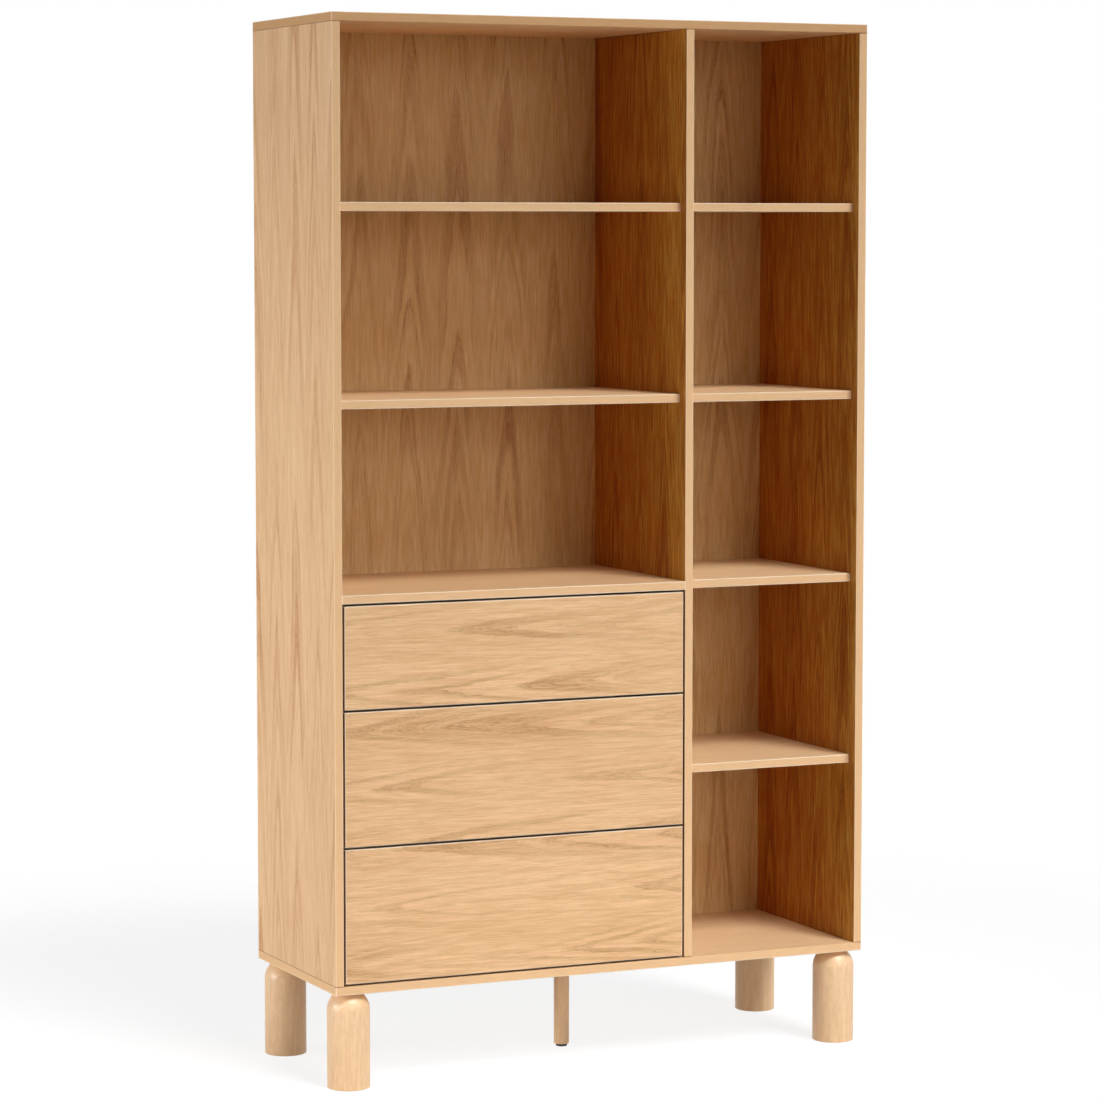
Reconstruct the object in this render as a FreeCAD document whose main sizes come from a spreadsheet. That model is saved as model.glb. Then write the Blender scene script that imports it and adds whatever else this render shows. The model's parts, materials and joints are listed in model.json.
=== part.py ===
"""Open shelving unit with three push-open drawers, on four turned legs and a slim centre leg.

Two bays stand side by side. The wide left bay holds three drawers under a fixed deck and two
loose shelves above it. The narrow right bay holds four loose shelves. All lengths are in
millimetres. The origin is on the floor under the middle of the unit: +X to the right as seen from
the front, +Y towards the back, +Z up.
"""
import FreeCAD, Part
import math
import os
import re
import Sketcher
from FreeCAD import Placement, Rotation, Vector

doc = FreeCAD.newDocument("shelving_unit")

# Driving sizes. Every length that can be set by itself stands here once.
SIZES = {
    # Carcass
    "unit_width": 1100,
    "unit_depth": 410,
    "carcass_height": 1794,
    "board_thickness": 16,
    "left_bay_width": 698,
    "board_easing": 0.6,
    # Heights of the undersides above the underside of the carcass
    "deck_height": 722,
    "low_shelf_height": 367.5,
    "middle_shelf_height": 1076.5,
    "high_shelf_height": 1437,
    # Shelves and their pins
    "shelf_setback": 24,
    "shelf_end_gap": 0.5,
    "shelf_back_gap": 1,
    "pin_diameter": 5,
    "pin_in_side": 7,
    "pin_in_shelf": 8,
    "pin_notch_fit": 0.4,
    "pin_edge_distance": 64,
    # Back panels
    "back_thickness": 4,
    "back_recess": 1,
    "back_lap": 8,
    "back_fit": 0.5,
    # Glued dowels of the carcass
    "dowel_diameter": 8,
    "dowel_length": 32,
    "dowel_in_face": 10,
    "bore_relief": 1,
    # Corner legs
    "leg_height": 180,
    "leg_diameter": 80,
    "leg_seat_diameter": 40,
    # Centre leg and its glide
    "centre_leg_diameter": 30,
    "centre_leg_easing": 1,
    "glide_height": 5,
    "glide_diameter": 22,
    "glide_stem_diameter": 8,
    "glide_stem_length": 14,
    # Leg fixings
    "bolt_diameter": 8,
    "bolt_in_leg": 35,
    "insert_diameter": 12,
    "insert_length": 13,
    # Flat-headed screws
    "screw_diameter": 3.5,
    "screw_head_diameter": 6.6,
    "back_screw_length": 20,
    "back_screw_head": 1,
    "rail_screw_length": 12,
    "rail_screw_head": 0.5,
    # Drawer faces and boxes
    "drawer_gap": 4,
    "upper_face_height": 191,
    "face_easing": 1,
    "box_board": 12,
    "box_depth": 356,
    "box_above_face_foot": 20,
    "box_below_face_top": 35,
    "box_back_inset": 10,
    "box_edge_easing": 1.5,
    "housing_depth": 4,
    "groove_depth": 5,
    "drawer_bottom_thickness": 5,
    "drawer_bottom_lift": 10,
    "drawer_bottom_fit": 0.2,
    # Telescopic drawer rails
    "rail_space": 12.7,
    "rail_height": 45,
    "rail_length": 350,
    "rail_setback": 4,
    "rail_lift": 60,
    "rail_wall": 1.2,
    "cabinet_rail_reach": 9.6,
    "cabinet_rail_lip": 1.6,
    "middle_rail_start": 3,
    "middle_rail_reach": 8,
    "middle_rail_lip": 1.2,
    "drawer_rail_reach": 7.3,
    "drawer_rail_lip": 1.2,
    # Ball cages between the rails
    "outer_race_gap": 4,
    "inner_race_gap": 3.4,
    "race_play": 0.2,
    "cage_wall": 0.6,
    "cage_length": 160,
    "outer_cage_play": 0.8,
    "inner_cage_play": 0.3,
    "cage_reach": 5.4,
    # Push-open units behind the cabinet rails
    "push_travel": 3,
    "push_unit_gap": 0.5,
    "push_unit_length": 24,
    "push_unit_height": 30,
    "push_unit_thickness": 11,
    "push_unit_corner": 4,
}

# Sizes and places worked out from the driving sizes.
DERIVED = {
    "left_x": "-unit_width / 2",
    "right_x": "unit_width / 2",
    "front_y": "-unit_depth / 2",
    "rear_y": "unit_depth / 2",
    "back_rear_y": "rear_y - back_recess",
    "back_y": "back_rear_y - back_thickness",
    "left_inner_x": "left_x + board_thickness",
    "right_inner_x": "right_x - board_thickness",
    "divider_x": "left_inner_x + left_bay_width",
    "divider_right_x": "divider_x + board_thickness",
    "inner_depth": "unit_depth - back_recess - back_thickness",
    "floor_z": "leg_height + board_thickness",
    "roof_z": "leg_height + carcass_height - board_thickness",
    "inner_height": "roof_z - floor_z",
    "deck_z": "leg_height + deck_height",
    "shelf_front_y": "front_y + shelf_setback",
    "shelf_back_y": "back_y - shelf_back_gap",
    "leg_radius": "leg_diameter / 2",
    "leg_shoulder_height": "leg_height - sqrt(leg_radius ^ 2 - (leg_seat_diameter / 2) ^ 2)",
    "face_y": "front_y + board_thickness",
    "face_width": "left_bay_width - 2 * drawer_gap",
    "deep_face_height": "(deck_height - board_thickness - 4 * drawer_gap - upper_face_height) / 2",
    "lower_face_z": "floor_z + drawer_gap",
    "middle_face_z": "lower_face_z + deep_face_height + drawer_gap",
    "upper_face_z": "middle_face_z + deep_face_height + drawer_gap",
    "box_left_x": "left_inner_x + rail_space",
    "box_right_x": "divider_x - rail_space",
    "box_front_y": "face_y - housing_depth",
    "box_rear_y": "face_y + box_depth",
    "rail_front_y": "face_y + rail_setback",
    "rail_rear_y": "rail_front_y + rail_length",
    "cabinet_half": "rail_height / 2",
    "middle_half": "cabinet_half - rail_wall - outer_race_gap",
    "drawer_half": "middle_half - rail_wall - inner_race_gap",
    "outer_race_z": "cabinet_half - rail_wall - outer_race_gap / 2",
    "inner_race_z": "middle_half - rail_wall - inner_race_gap / 2",
    "outer_ball_radius": "outer_race_gap / 2 - race_play",
    "inner_ball_radius": "inner_race_gap / 2 - race_play",
    "outer_cage_x": "rail_wall + outer_cage_play",
    "inner_cage_x": "middle_rail_start + rail_wall + inner_cage_play",
    "cage_front_y": "rail_front_y + (rail_length - cage_length) / 2",
}

# Ratios, chosen by hand.
DOWEL_DEPTH_SHARES = (0.12, 0.5, 0.88)
BACK_SCREW_SHARES = (0.06, 0.5, 0.94)
DECK_SCREW_SHARES = (0.3, 0.7)
RAIL_SCREW_SHARES = (0.12, 0.88)
CAGE_BALL_SHARES = (0.06, 0.94)
CAGE_BALL_REACH_SHARE = 0.62

# Sketch plane, first and second sketch axis, and sense of the normal, for a cut along each axis.
PLANES = {
    "x": ("YZ_Plane", "y", "z", 1),
    "y": ("XZ_Plane", "x", "z", -1),
    "z": ("XY_Plane", "x", "y", 1),
}
AXES = "xyz"
UPRIGHT = Rotation()
ALONG_X = Rotation(Vector(0, 1, 0), 90)
ALONG_MINUS_X = Rotation(Vector(0, 1, 0), -90)
ALONG_MINUS_Y = Rotation(Vector(1, 0, 0), 90)
TURNED_MINUS_Y = ALONG_MINUS_Y * Rotation(Vector(0, 0, 1), 30)
SAME_PLACE = 1e-6

# Dowels, pins, screws, their bores and balls are drawn with this many sides, so that the many small
# round pieces keep their meshes light.
ROUND_SIDES = 6
# Angle of the first corner of such an outline in a sketch square to each axis.
FIRST_CORNER = {"x": 90, "y": 0, "z": 0}


def make_sheets():
    """Write the driving sizes and the derived ones into two sheets."""
    sizes = doc.addObject("Spreadsheet::Sheet", "Sizes")
    for row, (alias, value) in enumerate(SIZES.items(), 1):
        sizes.set(f"A{row}", alias)
        sizes.set(f"B{row}", str(value))
        sizes.setAlias(f"B{row}", alias)
    derived = doc.addObject("Spreadsheet::Sheet", "Derived")
    for row, (alias, formula) in enumerate(DERIVED.items(), 1):
        derived.set(f"A{row}", alias)
        derived.set(f"B{row}", "=" + in_full(formula, own_sheet=True))
        derived.setAlias(f"B{row}", alias)
    doc.recompute()
    return derived


def in_full(formula, own_sheet=False):
    """Put each alias's sheet before it."""
    def name_sheet(match):
        word = match.group(0)
        if word in SIZES:
            return "Sizes." + word
        if word in DERIVED and not own_sheet:
            return "Derived." + word
        return word
    return re.sub(r"[A-Za-z_][A-Za-z_0-9]*", name_sheet, formula)


def number(formula):
    """Value of a formula now, for a sketch's first drawing and for picking edges."""
    return float(derived_sheet.evalExpression(in_full(formula)))


def bind(thing, path, formula):
    """Tie a property to a formula of the sheets."""
    if formula != "0":
        thing.setExpression(path, in_full(formula))


def less(place, origin):
    """Formula of a place counted from an origin."""
    return place if origin == "0" else f"{place} - ({origin})"


def hold_point(sketch, geometry, point, place):
    """Hold one point of a sketch at two distances from the sketch's origin."""
    for kind, formula in zip(("DistanceX", "DistanceY"), place):
        constraint = Sketcher.Constraint(kind, -1, 1, geometry, point, number(formula))
        bind(sketch, f"Constraints[{sketch.addConstraint(constraint)}]", formula)


def draw_outline(sketch, corners):
    """Draw a closed outline of straight lines through the corners."""
    points = [Vector(number(across), number(up), 0) for across, up in corners]
    first = sketch.GeometryCount
    lines = [first + index for index in range(len(corners))]
    for point, following in zip(points, points[1:] + points[:1]):
        sketch.addGeometry(Part.LineSegment(point, following), False)
    for line, following, corner in zip(lines, lines[1:] + lines[:1], corners):
        sketch.addConstraint(Sketcher.Constraint("Coincident", line, 2, following, 1))
        hold_point(sketch, line, 1, corner)


def round_outline(centre, diameter, first_angle):
    """Corners of a regular outline with few sides, in place of a circle."""
    corners = []
    for step in range(ROUND_SIDES):
        angle = math.radians(first_angle + 360 * step / ROUND_SIDES)
        turn = (round(math.cos(angle), 6), round(math.sin(angle), 6))
        corners.append(
            tuple(f"{place} + {ratio} * {diameter} / 2" for place, ratio in zip(centre, turn))
        )
    return corners


class Piece:
    """One body, drawn in axes that are parallel to the unit's and start at its own origin.

    Places are given as the unit's own, and the piece counts them from its origin.
    """

    def __init__(self, label, origin):
        self.body = doc.addObject("PartDesign::Body", label)
        self.body.Label = label
        self.origin = dict(zip(AXES, origin))
        for axis, place in self.origin.items():
            bind(self.body, f"Placement.Base.{axis}", place)

    def local(self, axis, place):
        """Formula of a place along one axis, counted from the piece's origin."""
        return less(place, self.origin[axis])

    def sketch(self, along, lift):
        """A sketch square to an axis, at a place along it."""
        role, _, _, sense = PLANES[along]
        sketch = self.body.newObject("Sketcher::SketchObject", "Outline")
        planes = self.body.Origin.OriginFeatures
        sketch.AttachmentSupport = [(next(p for p in planes if p.Role == role), "")]
        sketch.MapMode = "FlatFace"
        if lift != self.origin[along]:
            offset = self.local(along, lift)
            bind(sketch, "AttachmentOffset.Base.z", offset if sense > 0 else f"-({offset})")
        return sketch

    def flatten(self, along, places):
        """Sketch coordinates of places given as the unit's own, with the sketch square to along."""
        _, across, up, _ = PLANES[along]
        picks = (AXES.index(across), AXES.index(up))
        return [
            tuple(self.local(AXES[pick], place[pick]) for pick in picks) for place in places
        ]

    def extrude(self, along, corners, length):
        """Pad an outline, given in the piece's own axes, forwards along an axis."""
        sketch = self.sketch(along, self.origin[along])
        draw_outline(sketch, corners)
        return self.pad(sketch, length, PLANES[along][3] < 0)

    def pad(self, sketch, length, against_normal=False):
        """Pad a drawn sketch by a length."""
        pad = self.body.newObject("PartDesign::Pad", "Pad")
        pad.Profile = sketch
        pad.Reversed = against_normal
        bind(pad, "Length", length)
        return self

    def block(self, width, depth, height):
        """Pad a rectangular board from its lowest corner."""
        corners = [("0", "0"), (width, "0"), (width, depth), ("0", depth)]
        return self.extrude("z", corners, height)

    def cut(self, sketch, along, forwards, depth):
        """Pocket a sketch forwards or backwards along an axis."""
        pocket = self.body.newObject("PartDesign::Pocket", "Pocket")
        pocket.Profile = sketch
        pocket.Reversed = forwards == (PLANES[along][3] > 0)
        bind(pocket, "Length", depth)
        return self

    def cut_box(self, low, high):
        """Cut the box between two corners out of the piece."""
        sketch = self.sketch("z", low[2])
        (x_low, y_low), (x_high, y_high) = self.flatten("z", (low, high))
        draw_outline(sketch, [(x_low, y_low), (x_high, y_low), (x_high, y_high), (x_low, y_high)])
        return self.cut(sketch, "z", True, f"{high[2]} - ({low[2]})")

    def drill(self, along, forwards, centres, diameter, depth):
        """Drill equal holes that start in one plane."""
        sketch = self.sketch(along, centres[0][AXES.index(along)])
        for centre in self.flatten(along, centres):
            draw_outline(sketch, round_outline(centre, diameter, FIRST_CORNER[along]))
        return self.cut(sketch, along, forwards, depth)

    def revolve(self, corners):
        """Revolve half an outline of (radius, height) corners about the piece's upright axis."""
        sketch = self.sketch("y", self.origin["y"])
        draw_outline(sketch, corners)
        return self.turn(sketch)

    def turn(self, sketch):
        """Turn a drawn sketch full circle about its upright axis."""
        turned = self.body.newObject("PartDesign::Revolution", "Revolution")
        turned.Profile = sketch
        turned.ReferenceAxis = (sketch, ["V_Axis"])
        return self

    def dress(self, kind, size, wanted):
        """Chamfer or fillet those edges of the piece that a test picks out."""
        doc.recompute()
        base = self.body.Tip
        picked = [f"Edge{n}" for n, edge in enumerate(base.Shape.Edges, 1) if wanted(edge)]
        feature = self.body.newObject(f"PartDesign::{kind}", kind)
        feature.Base = (base, picked)
        bind(feature, "Radius" if kind == "Fillet" else "Size", size)
        return self

    def on_plane(self, axis, place):
        """Test for edges that lie in one plane square to an axis."""
        level = number(self.local(axis, place))

        def lies_there(edge):
            box = edge.BoundBox
            low, high = getattr(box, axis.upper() + "Min"), getattr(box, axis.upper() + "Max")
            return abs(low - level) < SAME_PLACE and abs(high - level) < SAME_PLACE
        return lies_there


def both(first, second):
    """Test for edges that pass two tests."""
    return lambda edge: first(edge) and second(edge)


def runs_along(axis):
    """Test for straight edges along an axis."""
    direction = Vector(*(float(axis == name) for name in AXES))

    def is_parallel(edge):
        ends = edge.Vertexes
        return len(ends) == 2 and (ends[1].Point - ends[0].Point).cross(direction).Length < SAME_PLACE
    return is_parallel


def place_primitive(kind, at, rotation, **sizes):
    """Place one primitive, with its sizes and its place tied to formulas."""
    solid = doc.addObject(f"Part::{kind}", kind)
    solid.Placement = Placement(Vector(), rotation)
    for name, formula in sizes.items():
        bind(solid, name, formula)
    for axis, place in zip(AXES, at):
        bind(solid, f"Placement.Base.{axis}", place)
    return solid


def rod(at, rotation, diameter, length):
    """A round rod with few sides from a point, along the axis that its rotation gives."""
    solid = place_primitive("Prism", at, rotation, Circumradius=f"{diameter} / 2", Height=length)
    solid.Polygon = ROUND_SIDES
    return solid


def screw(at, rotation, length, head):
    """A screw from the top of its flat head, with its shank along the rotated axis."""
    fused = doc.addObject("Part::Fuse", "Screw")
    fused.Base = rod(at, rotation, "screw_head_diameter", head)
    fused.Tool = rod(at, rotation, "screw_diameter", length)
    fused.Refine = True
    return fused


def ball(at, radius):
    """A ball with few faces: what two rods that cross in its middle have in common."""
    x, y, z = at
    crossing = doc.addObject("Part::MultiCommon", "Ball")
    crossing.Shapes = [
        rod((f"{x} - {radius}", y, z), ALONG_X, f"2 * {radius}", f"2 * {radius}"),
        rod((x, f"{y} + {radius}", z), TURNED_MINUS_Y, f"2 * {radius}", f"2 * {radius}"),
    ]
    return crossing


def group(label, members):
    """One node that holds several separate solids."""
    node = doc.addObject("Part::Compound", label)
    node.Label = label
    node.Links = members
    return node


def share_of(share, start, length):
    """Formula of a place at a share of a length from its start."""
    return f"{start} + {share} * ({length})"


# Places that two or more pieces have in common
def dowel_ys():
    """Places of the carcass dowels along the depth."""
    return [share_of(share, "front_y", "inner_depth") for share in DOWEL_DEPTH_SHARES]


def shelf_pin_ys():
    """Places of a shelf's front and rear pins along the depth."""
    return ["shelf_front_y + pin_edge_distance", "shelf_back_y - pin_edge_distance"]


def back_screw_zs():
    """Heights of the screws up each upright edge of a back panel."""
    return [share_of(share, "floor_z", "inner_height") for share in BACK_SCREW_SHARES]


UPRIGHT_MIDDLES = {
    "left_side": "left_x + board_thickness / 2",
    "divider": "divider_x + board_thickness / 2",
    "right_side": "right_inner_x + board_thickness / 2",
}
SHELF_LEVELS = {
    "low": "low_shelf_height",
    "deck": "deck_height",
    "middle": "middle_shelf_height",
    "high": "high_shelf_height",
}
LEFT_SHELVES = ("middle", "high")
RIGHT_SHELVES = ("low", "deck", "middle", "high")
DRAWERS = {
    "lower": ("lower_face_z", "deep_face_height"),
    "middle": ("middle_face_z", "deep_face_height"),
    "upper": ("upper_face_z", "upper_face_height"),
}
LEG_PLACES = {
    "front_left_leg": ("left_x + leg_radius", "front_y + leg_radius"),
    "front_right_leg": ("right_x - leg_radius", "front_y + leg_radius"),
    "back_left_leg": ("left_x + leg_radius", "rear_y - leg_radius"),
    "back_right_leg": ("right_x - leg_radius", "rear_y - leg_radius"),
    "centre_leg": ("0", "0"),
}


BACK_PILOT_DEPTH = "back_screw_length - back_screw_head - back_thickness"
RAIL_PILOT_DEPTH = "rail_screw_length - rail_screw_head - rail_wall"


def rail_z(drawer):
    """Height of the middle of a drawer's rails."""
    return f"{DRAWERS[drawer][0]} + box_above_face_foot + rail_lift"


def pin_points(x, levels):
    """Centres of the pin bores in one upright face."""
    return [
        (x, y, f"leg_height + {SHELF_LEVELS[level]} + pin_diameter / 2")
        for level in levels for y in shelf_pin_ys()
    ]


def rail_screw_points(x, drawer):
    """Centres of the rail screws on one upright face beside a drawer."""
    return [
        (x, share_of(share, "rail_front_y", "rail_length"), rail_z(drawer))
        for share in RAIL_SCREW_SHARES
    ]


def drill_dowels_up(piece, middles, z, depth, forwards):
    """Drill the upright dowel bores over the given board middles."""
    centres = [(x, y, z) for x in middles for y in dowel_ys()]
    piece.drill("z", forwards, centres, "dowel_diameter", f"{depth} + bore_relief")


def drill_face(piece, x, inwards, levels, drawers):
    """Drill the shelf pins' bores and the rail screws' pilots in one upright face."""
    piece.drill("x", inwards, pin_points(x, levels), "pin_diameter", "pin_in_side")
    if drawers:
        centres = [point for drawer in DRAWERS for point in rail_screw_points(x, drawer)]
        piece.drill("x", inwards, centres, "screw_diameter", RAIL_PILOT_DEPTH)


# Carcass
def make_top_and_bottom():
    """Top and bottom panels: full width, over the ends of the sides, rebated for the backs."""
    size = ("unit_width", "unit_depth", "board_thickness")
    low_x = "left_inner_x - back_lap"
    high_x = "right_inner_x + back_lap"
    uprights = UPRIGHT_MIDDLES.values()

    top = Piece("top_panel", ("left_x", "front_y", "roof_z")).block(*size)
    top.dress("Chamfer", "board_easing", lambda edge: True)
    top.cut_box((low_x, "back_y", "roof_z"), (high_x, "rear_y", "roof_z + back_lap"))
    drill_dowels_up(top, uprights, "roof_z", "dowel_in_face", True)

    bottom = Piece("bottom_panel", ("left_x", "front_y", "leg_height")).block(*size)
    bottom.dress("Chamfer", "board_easing", lambda edge: True)
    bottom.cut_box((low_x, "back_y", "floor_z - back_lap"), (high_x, "rear_y", "floor_z"))
    drill_dowels_up(bottom, uprights, "floor_z", "dowel_in_face", False)
    feet = [(x, y, "leg_height") for x, y in LEG_PLACES.values()]
    bottom.drill("z", True, feet, "insert_diameter", "insert_length")


def make_uprights():
    """The two sides, each rebated for a back panel, and the divider between the bays."""
    deck_middle = "deck_z + board_thickness / 2"
    sides = (
        ("left_side", "left_x", "left_inner_x", "left_x", True, LEFT_SHELVES),
        ("right_side", "right_inner_x", "right_inner_x", "right_x", False, RIGHT_SHELVES),
    )
    for label, low_x, inner_x, outer_x, on_left, levels in sides:
        side = Piece(label, (low_x, "front_y", "floor_z"))
        side.block("board_thickness", "unit_depth", "inner_height")
        front = both(side.on_plane("y", "front_y"), runs_along("z"))
        rear = both(side.on_plane("y", "rear_y"), side.on_plane("x", outer_x))
        side.dress("Chamfer", "board_easing", lambda edge: front(edge) or rear(edge))
        lap = ("left_inner_x - back_lap", "left_inner_x")
        if not on_left:
            lap = ("right_inner_x", "right_inner_x + back_lap")
        side.cut_box((lap[0], "back_y", "floor_z"), (lap[1], "rear_y", "roof_z"))
        drill_dowels_up(side, [UPRIGHT_MIDDLES[label]], "floor_z", "dowel_length - dowel_in_face", True)
        drill_dowels_up(side, [UPRIGHT_MIDDLES[label]], "roof_z", "dowel_length - dowel_in_face", False)
        drill_face(side, inner_x, not on_left, levels, on_left)
        if on_left:
            centres = [(inner_x, y, deck_middle) for y in dowel_ys()]
            side.drill("x", False, centres, "dowel_diameter", "dowel_in_face + bore_relief")
        pilots = [(back_screw_xs()[label][0], "back_y", z) for z in back_screw_zs()]
        side.drill("y", False, pilots, "screw_diameter", BACK_PILOT_DEPTH)

    divider = Piece("divider", ("divider_x", "front_y", "floor_z"))
    divider.block("board_thickness", "inner_depth", "inner_height")
    divider.dress(
        "Chamfer", "board_easing", both(divider.on_plane("y", "front_y"), runs_along("z"))
    )
    middle = [UPRIGHT_MIDDLES["divider"]]
    drill_dowels_up(divider, middle, "floor_z", "dowel_length - dowel_in_face", True)
    drill_dowels_up(divider, middle, "roof_z", "dowel_length - dowel_in_face", False)
    drill_face(divider, "divider_x", True, LEFT_SHELVES, True)
    drill_face(divider, "divider_right_x", False, RIGHT_SHELVES, False)
    centres = [("divider_x", y, deck_middle) for y in dowel_ys()]
    divider.drill("x", True, centres, "dowel_diameter", "dowel_in_face + bore_relief")
    pilots = [(x, "back_y", z) for x in back_screw_xs()["divider"] for z in back_screw_zs()]
    divider.drill("y", False, pilots, "screw_diameter", BACK_PILOT_DEPTH)


def back_screw_xs():
    """Places of the back screws across each upright."""
    half_lap = "back_lap / 2"
    return {
        "left_side": [f"left_inner_x - {half_lap}"],
        "divider": [f"divider_x + {half_lap}", f"divider_right_x - {half_lap}"],
        "right_side": [f"right_inner_x + {half_lap}"],
    }


def deck_screw_points():
    """Places of the screws from the left back into the deck."""
    return [
        (share_of(share, "left_inner_x", "left_bay_width"), "back_y", "deck_z + board_thickness / 2")
        for share in DECK_SCREW_SHARES
    ]


def make_deck():
    """The fixed deck over the drawers, flush with the fronts of the uprights."""
    deck = Piece("drawer_deck", ("left_inner_x", "front_y", "deck_z"))
    deck.block("left_bay_width", "inner_depth", "board_thickness")
    deck.dress("Chamfer", "board_easing", both(deck.on_plane("y", "front_y"), runs_along("x")))
    depth = "dowel_length - dowel_in_face + bore_relief"
    for x, forwards in (("left_inner_x", True), ("divider_x", False)):
        centres = [(x, y, "deck_z + board_thickness / 2") for y in dowel_ys()]
        deck.drill("x", forwards, centres, "dowel_diameter", depth)
    deck.drill("y", False, deck_screw_points(), "screw_diameter", BACK_PILOT_DEPTH)


def make_backs():
    """Two back panels in the rebates, meeting on the rear edge of the divider."""
    middle = UPRIGHT_MIDDLES["divider"]
    spans = {
        "left_back": ("left_inner_x - back_lap + back_fit", f"{middle} - back_fit / 2"),
        "right_back": (f"{middle} + back_fit / 2", "right_inner_x + back_lap - back_fit"),
    }
    screws = back_screw_xs()
    columns = {
        "left_back": (screws["left_side"][0], screws["divider"][0]),
        "right_back": (screws["divider"][1], screws["right_side"][0]),
    }
    low_z = "floor_z - back_lap + back_fit"
    for label, (low_x, high_x) in spans.items():
        back = Piece(label, (low_x, "back_y", low_z))
        height = "inner_height + 2 * (back_lap - back_fit)"
        back.block(f"{high_x} - ({low_x})", "back_thickness", height)
        centres = [(x, "back_y", z) for x in columns[label] for z in back_screw_zs()]
        if label == "left_back":
            centres += deck_screw_points()
        back.drill("y", True, centres, "screw_diameter", "back_thickness")


# Shelves
def make_shelf(label, level, low_x, high_x):
    """A loose shelf with a notch over each of its four pins."""
    height = SHELF_LEVELS[level]
    start_x, end_x = f"{low_x} + shelf_end_gap", f"{high_x} - shelf_end_gap"
    z = f"leg_height + {height}"
    shelf = Piece(label, (start_x, "shelf_front_y", z))
    shelf.block(f"{end_x} - ({start_x})", "shelf_back_y - shelf_front_y", "board_thickness")
    shelf.dress("Chamfer", "board_easing", both(shelf.on_plane("y", "shelf_front_y"), runs_along("x")))
    for y in shelf_pin_ys():
        half = "(pin_diameter + pin_notch_fit) / 2"
        for first, last in ((start_x, f"{low_x} + pin_in_shelf"), (f"{high_x} - pin_in_shelf", end_x)):
            shelf.cut_box((first, f"{y} - {half}", z), (last, f"{y} + {half}", f"{z} + pin_diameter"))


def make_shelves():
    """Two shelves in the left bay and four in the right, and the pins that carry them."""
    for level in LEFT_SHELVES:
        make_shelf(f"left_{level}_shelf", level, "left_inner_x", "divider_x")
    for place, level in enumerate(RIGHT_SHELVES, 1):
        make_shelf(f"right_shelf_{place}", level, "divider_right_x", "right_inner_x")

    length = "pin_in_side + pin_in_shelf"
    faces = (
        ("left_inner_x - pin_in_side", LEFT_SHELVES),
        ("divider_x - pin_in_shelf", LEFT_SHELVES),
        ("divider_right_x - pin_in_side", RIGHT_SHELVES),
        ("right_inner_x - pin_in_shelf", RIGHT_SHELVES),
    )
    pins = [
        rod(point, ALONG_X, "pin_diameter", length)
        for x, levels in faces for point in pin_points(x, levels)
    ]
    group("shelf_pins", pins)


def make_dowels():
    """The glued dowels between the uprights, the two panels and the deck."""
    dowels = []
    for x in UPRIGHT_MIDDLES.values():
        for y in dowel_ys():
            for z in ("floor_z - dowel_in_face", "roof_z + dowel_in_face - dowel_length"):
                dowels.append(rod((x, y, z), UPRIGHT, "dowel_diameter", "dowel_length"))
    for x in ("left_inner_x - dowel_in_face", "divider_x + dowel_in_face - dowel_length"):
        for y in dowel_ys():
            at = (x, y, "deck_z + board_thickness / 2")
            dowels.append(rod(at, ALONG_X, "dowel_diameter", "dowel_length"))
    group("carcass_dowels", dowels)


def make_back_screws():
    """The flat-headed screws that hold the backs."""
    points = [(x, "rear_y", z) for xs in back_screw_xs().values() for x in xs for z in back_screw_zs()]
    points += [(x, "rear_y", z) for x, _, z in deck_screw_points()]
    screws = [screw(at, ALONG_MINUS_Y, "back_screw_length", "back_screw_head") for at in points]
    group("back_screws", screws)


# Legs
def make_corner_leg(x, y):
    """A stout turned leg: a cylinder whose shoulder is a dome, cut off in a flat seat."""
    leg = Piece("leg", (x, y, "0"))
    sketch = leg.sketch("y", y)
    radius = number("leg_radius")
    shoulder = number("leg_shoulder_height")
    top = number("leg_height")
    side = Vector(radius, shoulder, 0)
    rim = Vector(number("leg_seat_diameter / 2"), top, 0)
    dome = Part.Circle(Vector(0, shoulder, 0), Vector(0, 0, 1), radius)
    arc = Part.ArcOfCircle(dome, dome.parameter(side), dome.parameter(rim))
    sole_line = Part.LineSegment(Vector(), Vector(radius, 0, 0))
    wall_line = Part.LineSegment(Vector(radius, 0, 0), side)
    seat_line = Part.LineSegment(rim, Vector(0, top, 0))
    axis_line = Part.LineSegment(Vector(0, top, 0), Vector())
    outline = [
        sketch.addGeometry(line, False) for line in (sole_line, wall_line, arc, seat_line, axis_line)
    ]
    for line, following in zip(outline, outline[1:] + outline[:1]):
        sketch.addConstraint(Sketcher.Constraint("Coincident", line, 2, following, 1))
    sole, wall, crown, seat, axis = outline
    hold_point(sketch, sole, 1, ("0", "0"))
    hold_point(sketch, wall, 1, ("leg_radius", "0"))
    hold_point(sketch, crown, 3, ("0", "leg_shoulder_height"))
    hold_point(sketch, crown, 1, ("leg_radius", "leg_shoulder_height"))
    sketch.addConstraint(Sketcher.Constraint("Horizontal", seat))
    sketch.addConstraint(Sketcher.Constraint("Vertical", axis))
    held = Sketcher.Constraint("DistanceX", -1, 1, seat, 1, number("leg_seat_diameter / 2"))
    bind(sketch, f"Constraints[{sketch.addConstraint(held)}]", "leg_seat_diameter / 2")
    leg.turn(sketch)
    leg.drill("z", False, [(x, y, "leg_height")], "bolt_diameter", "bolt_in_leg")
    return leg.body


def make_corner_legs():
    """The legs in two nodes, a front pair and a back pair."""
    for row in ("front", "back"):
        places = [place for name, place in LEG_PLACES.items() if name.startswith(row)]
        group(f"{row}_legs", [make_corner_leg(x, y) for x, y in places])


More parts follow.
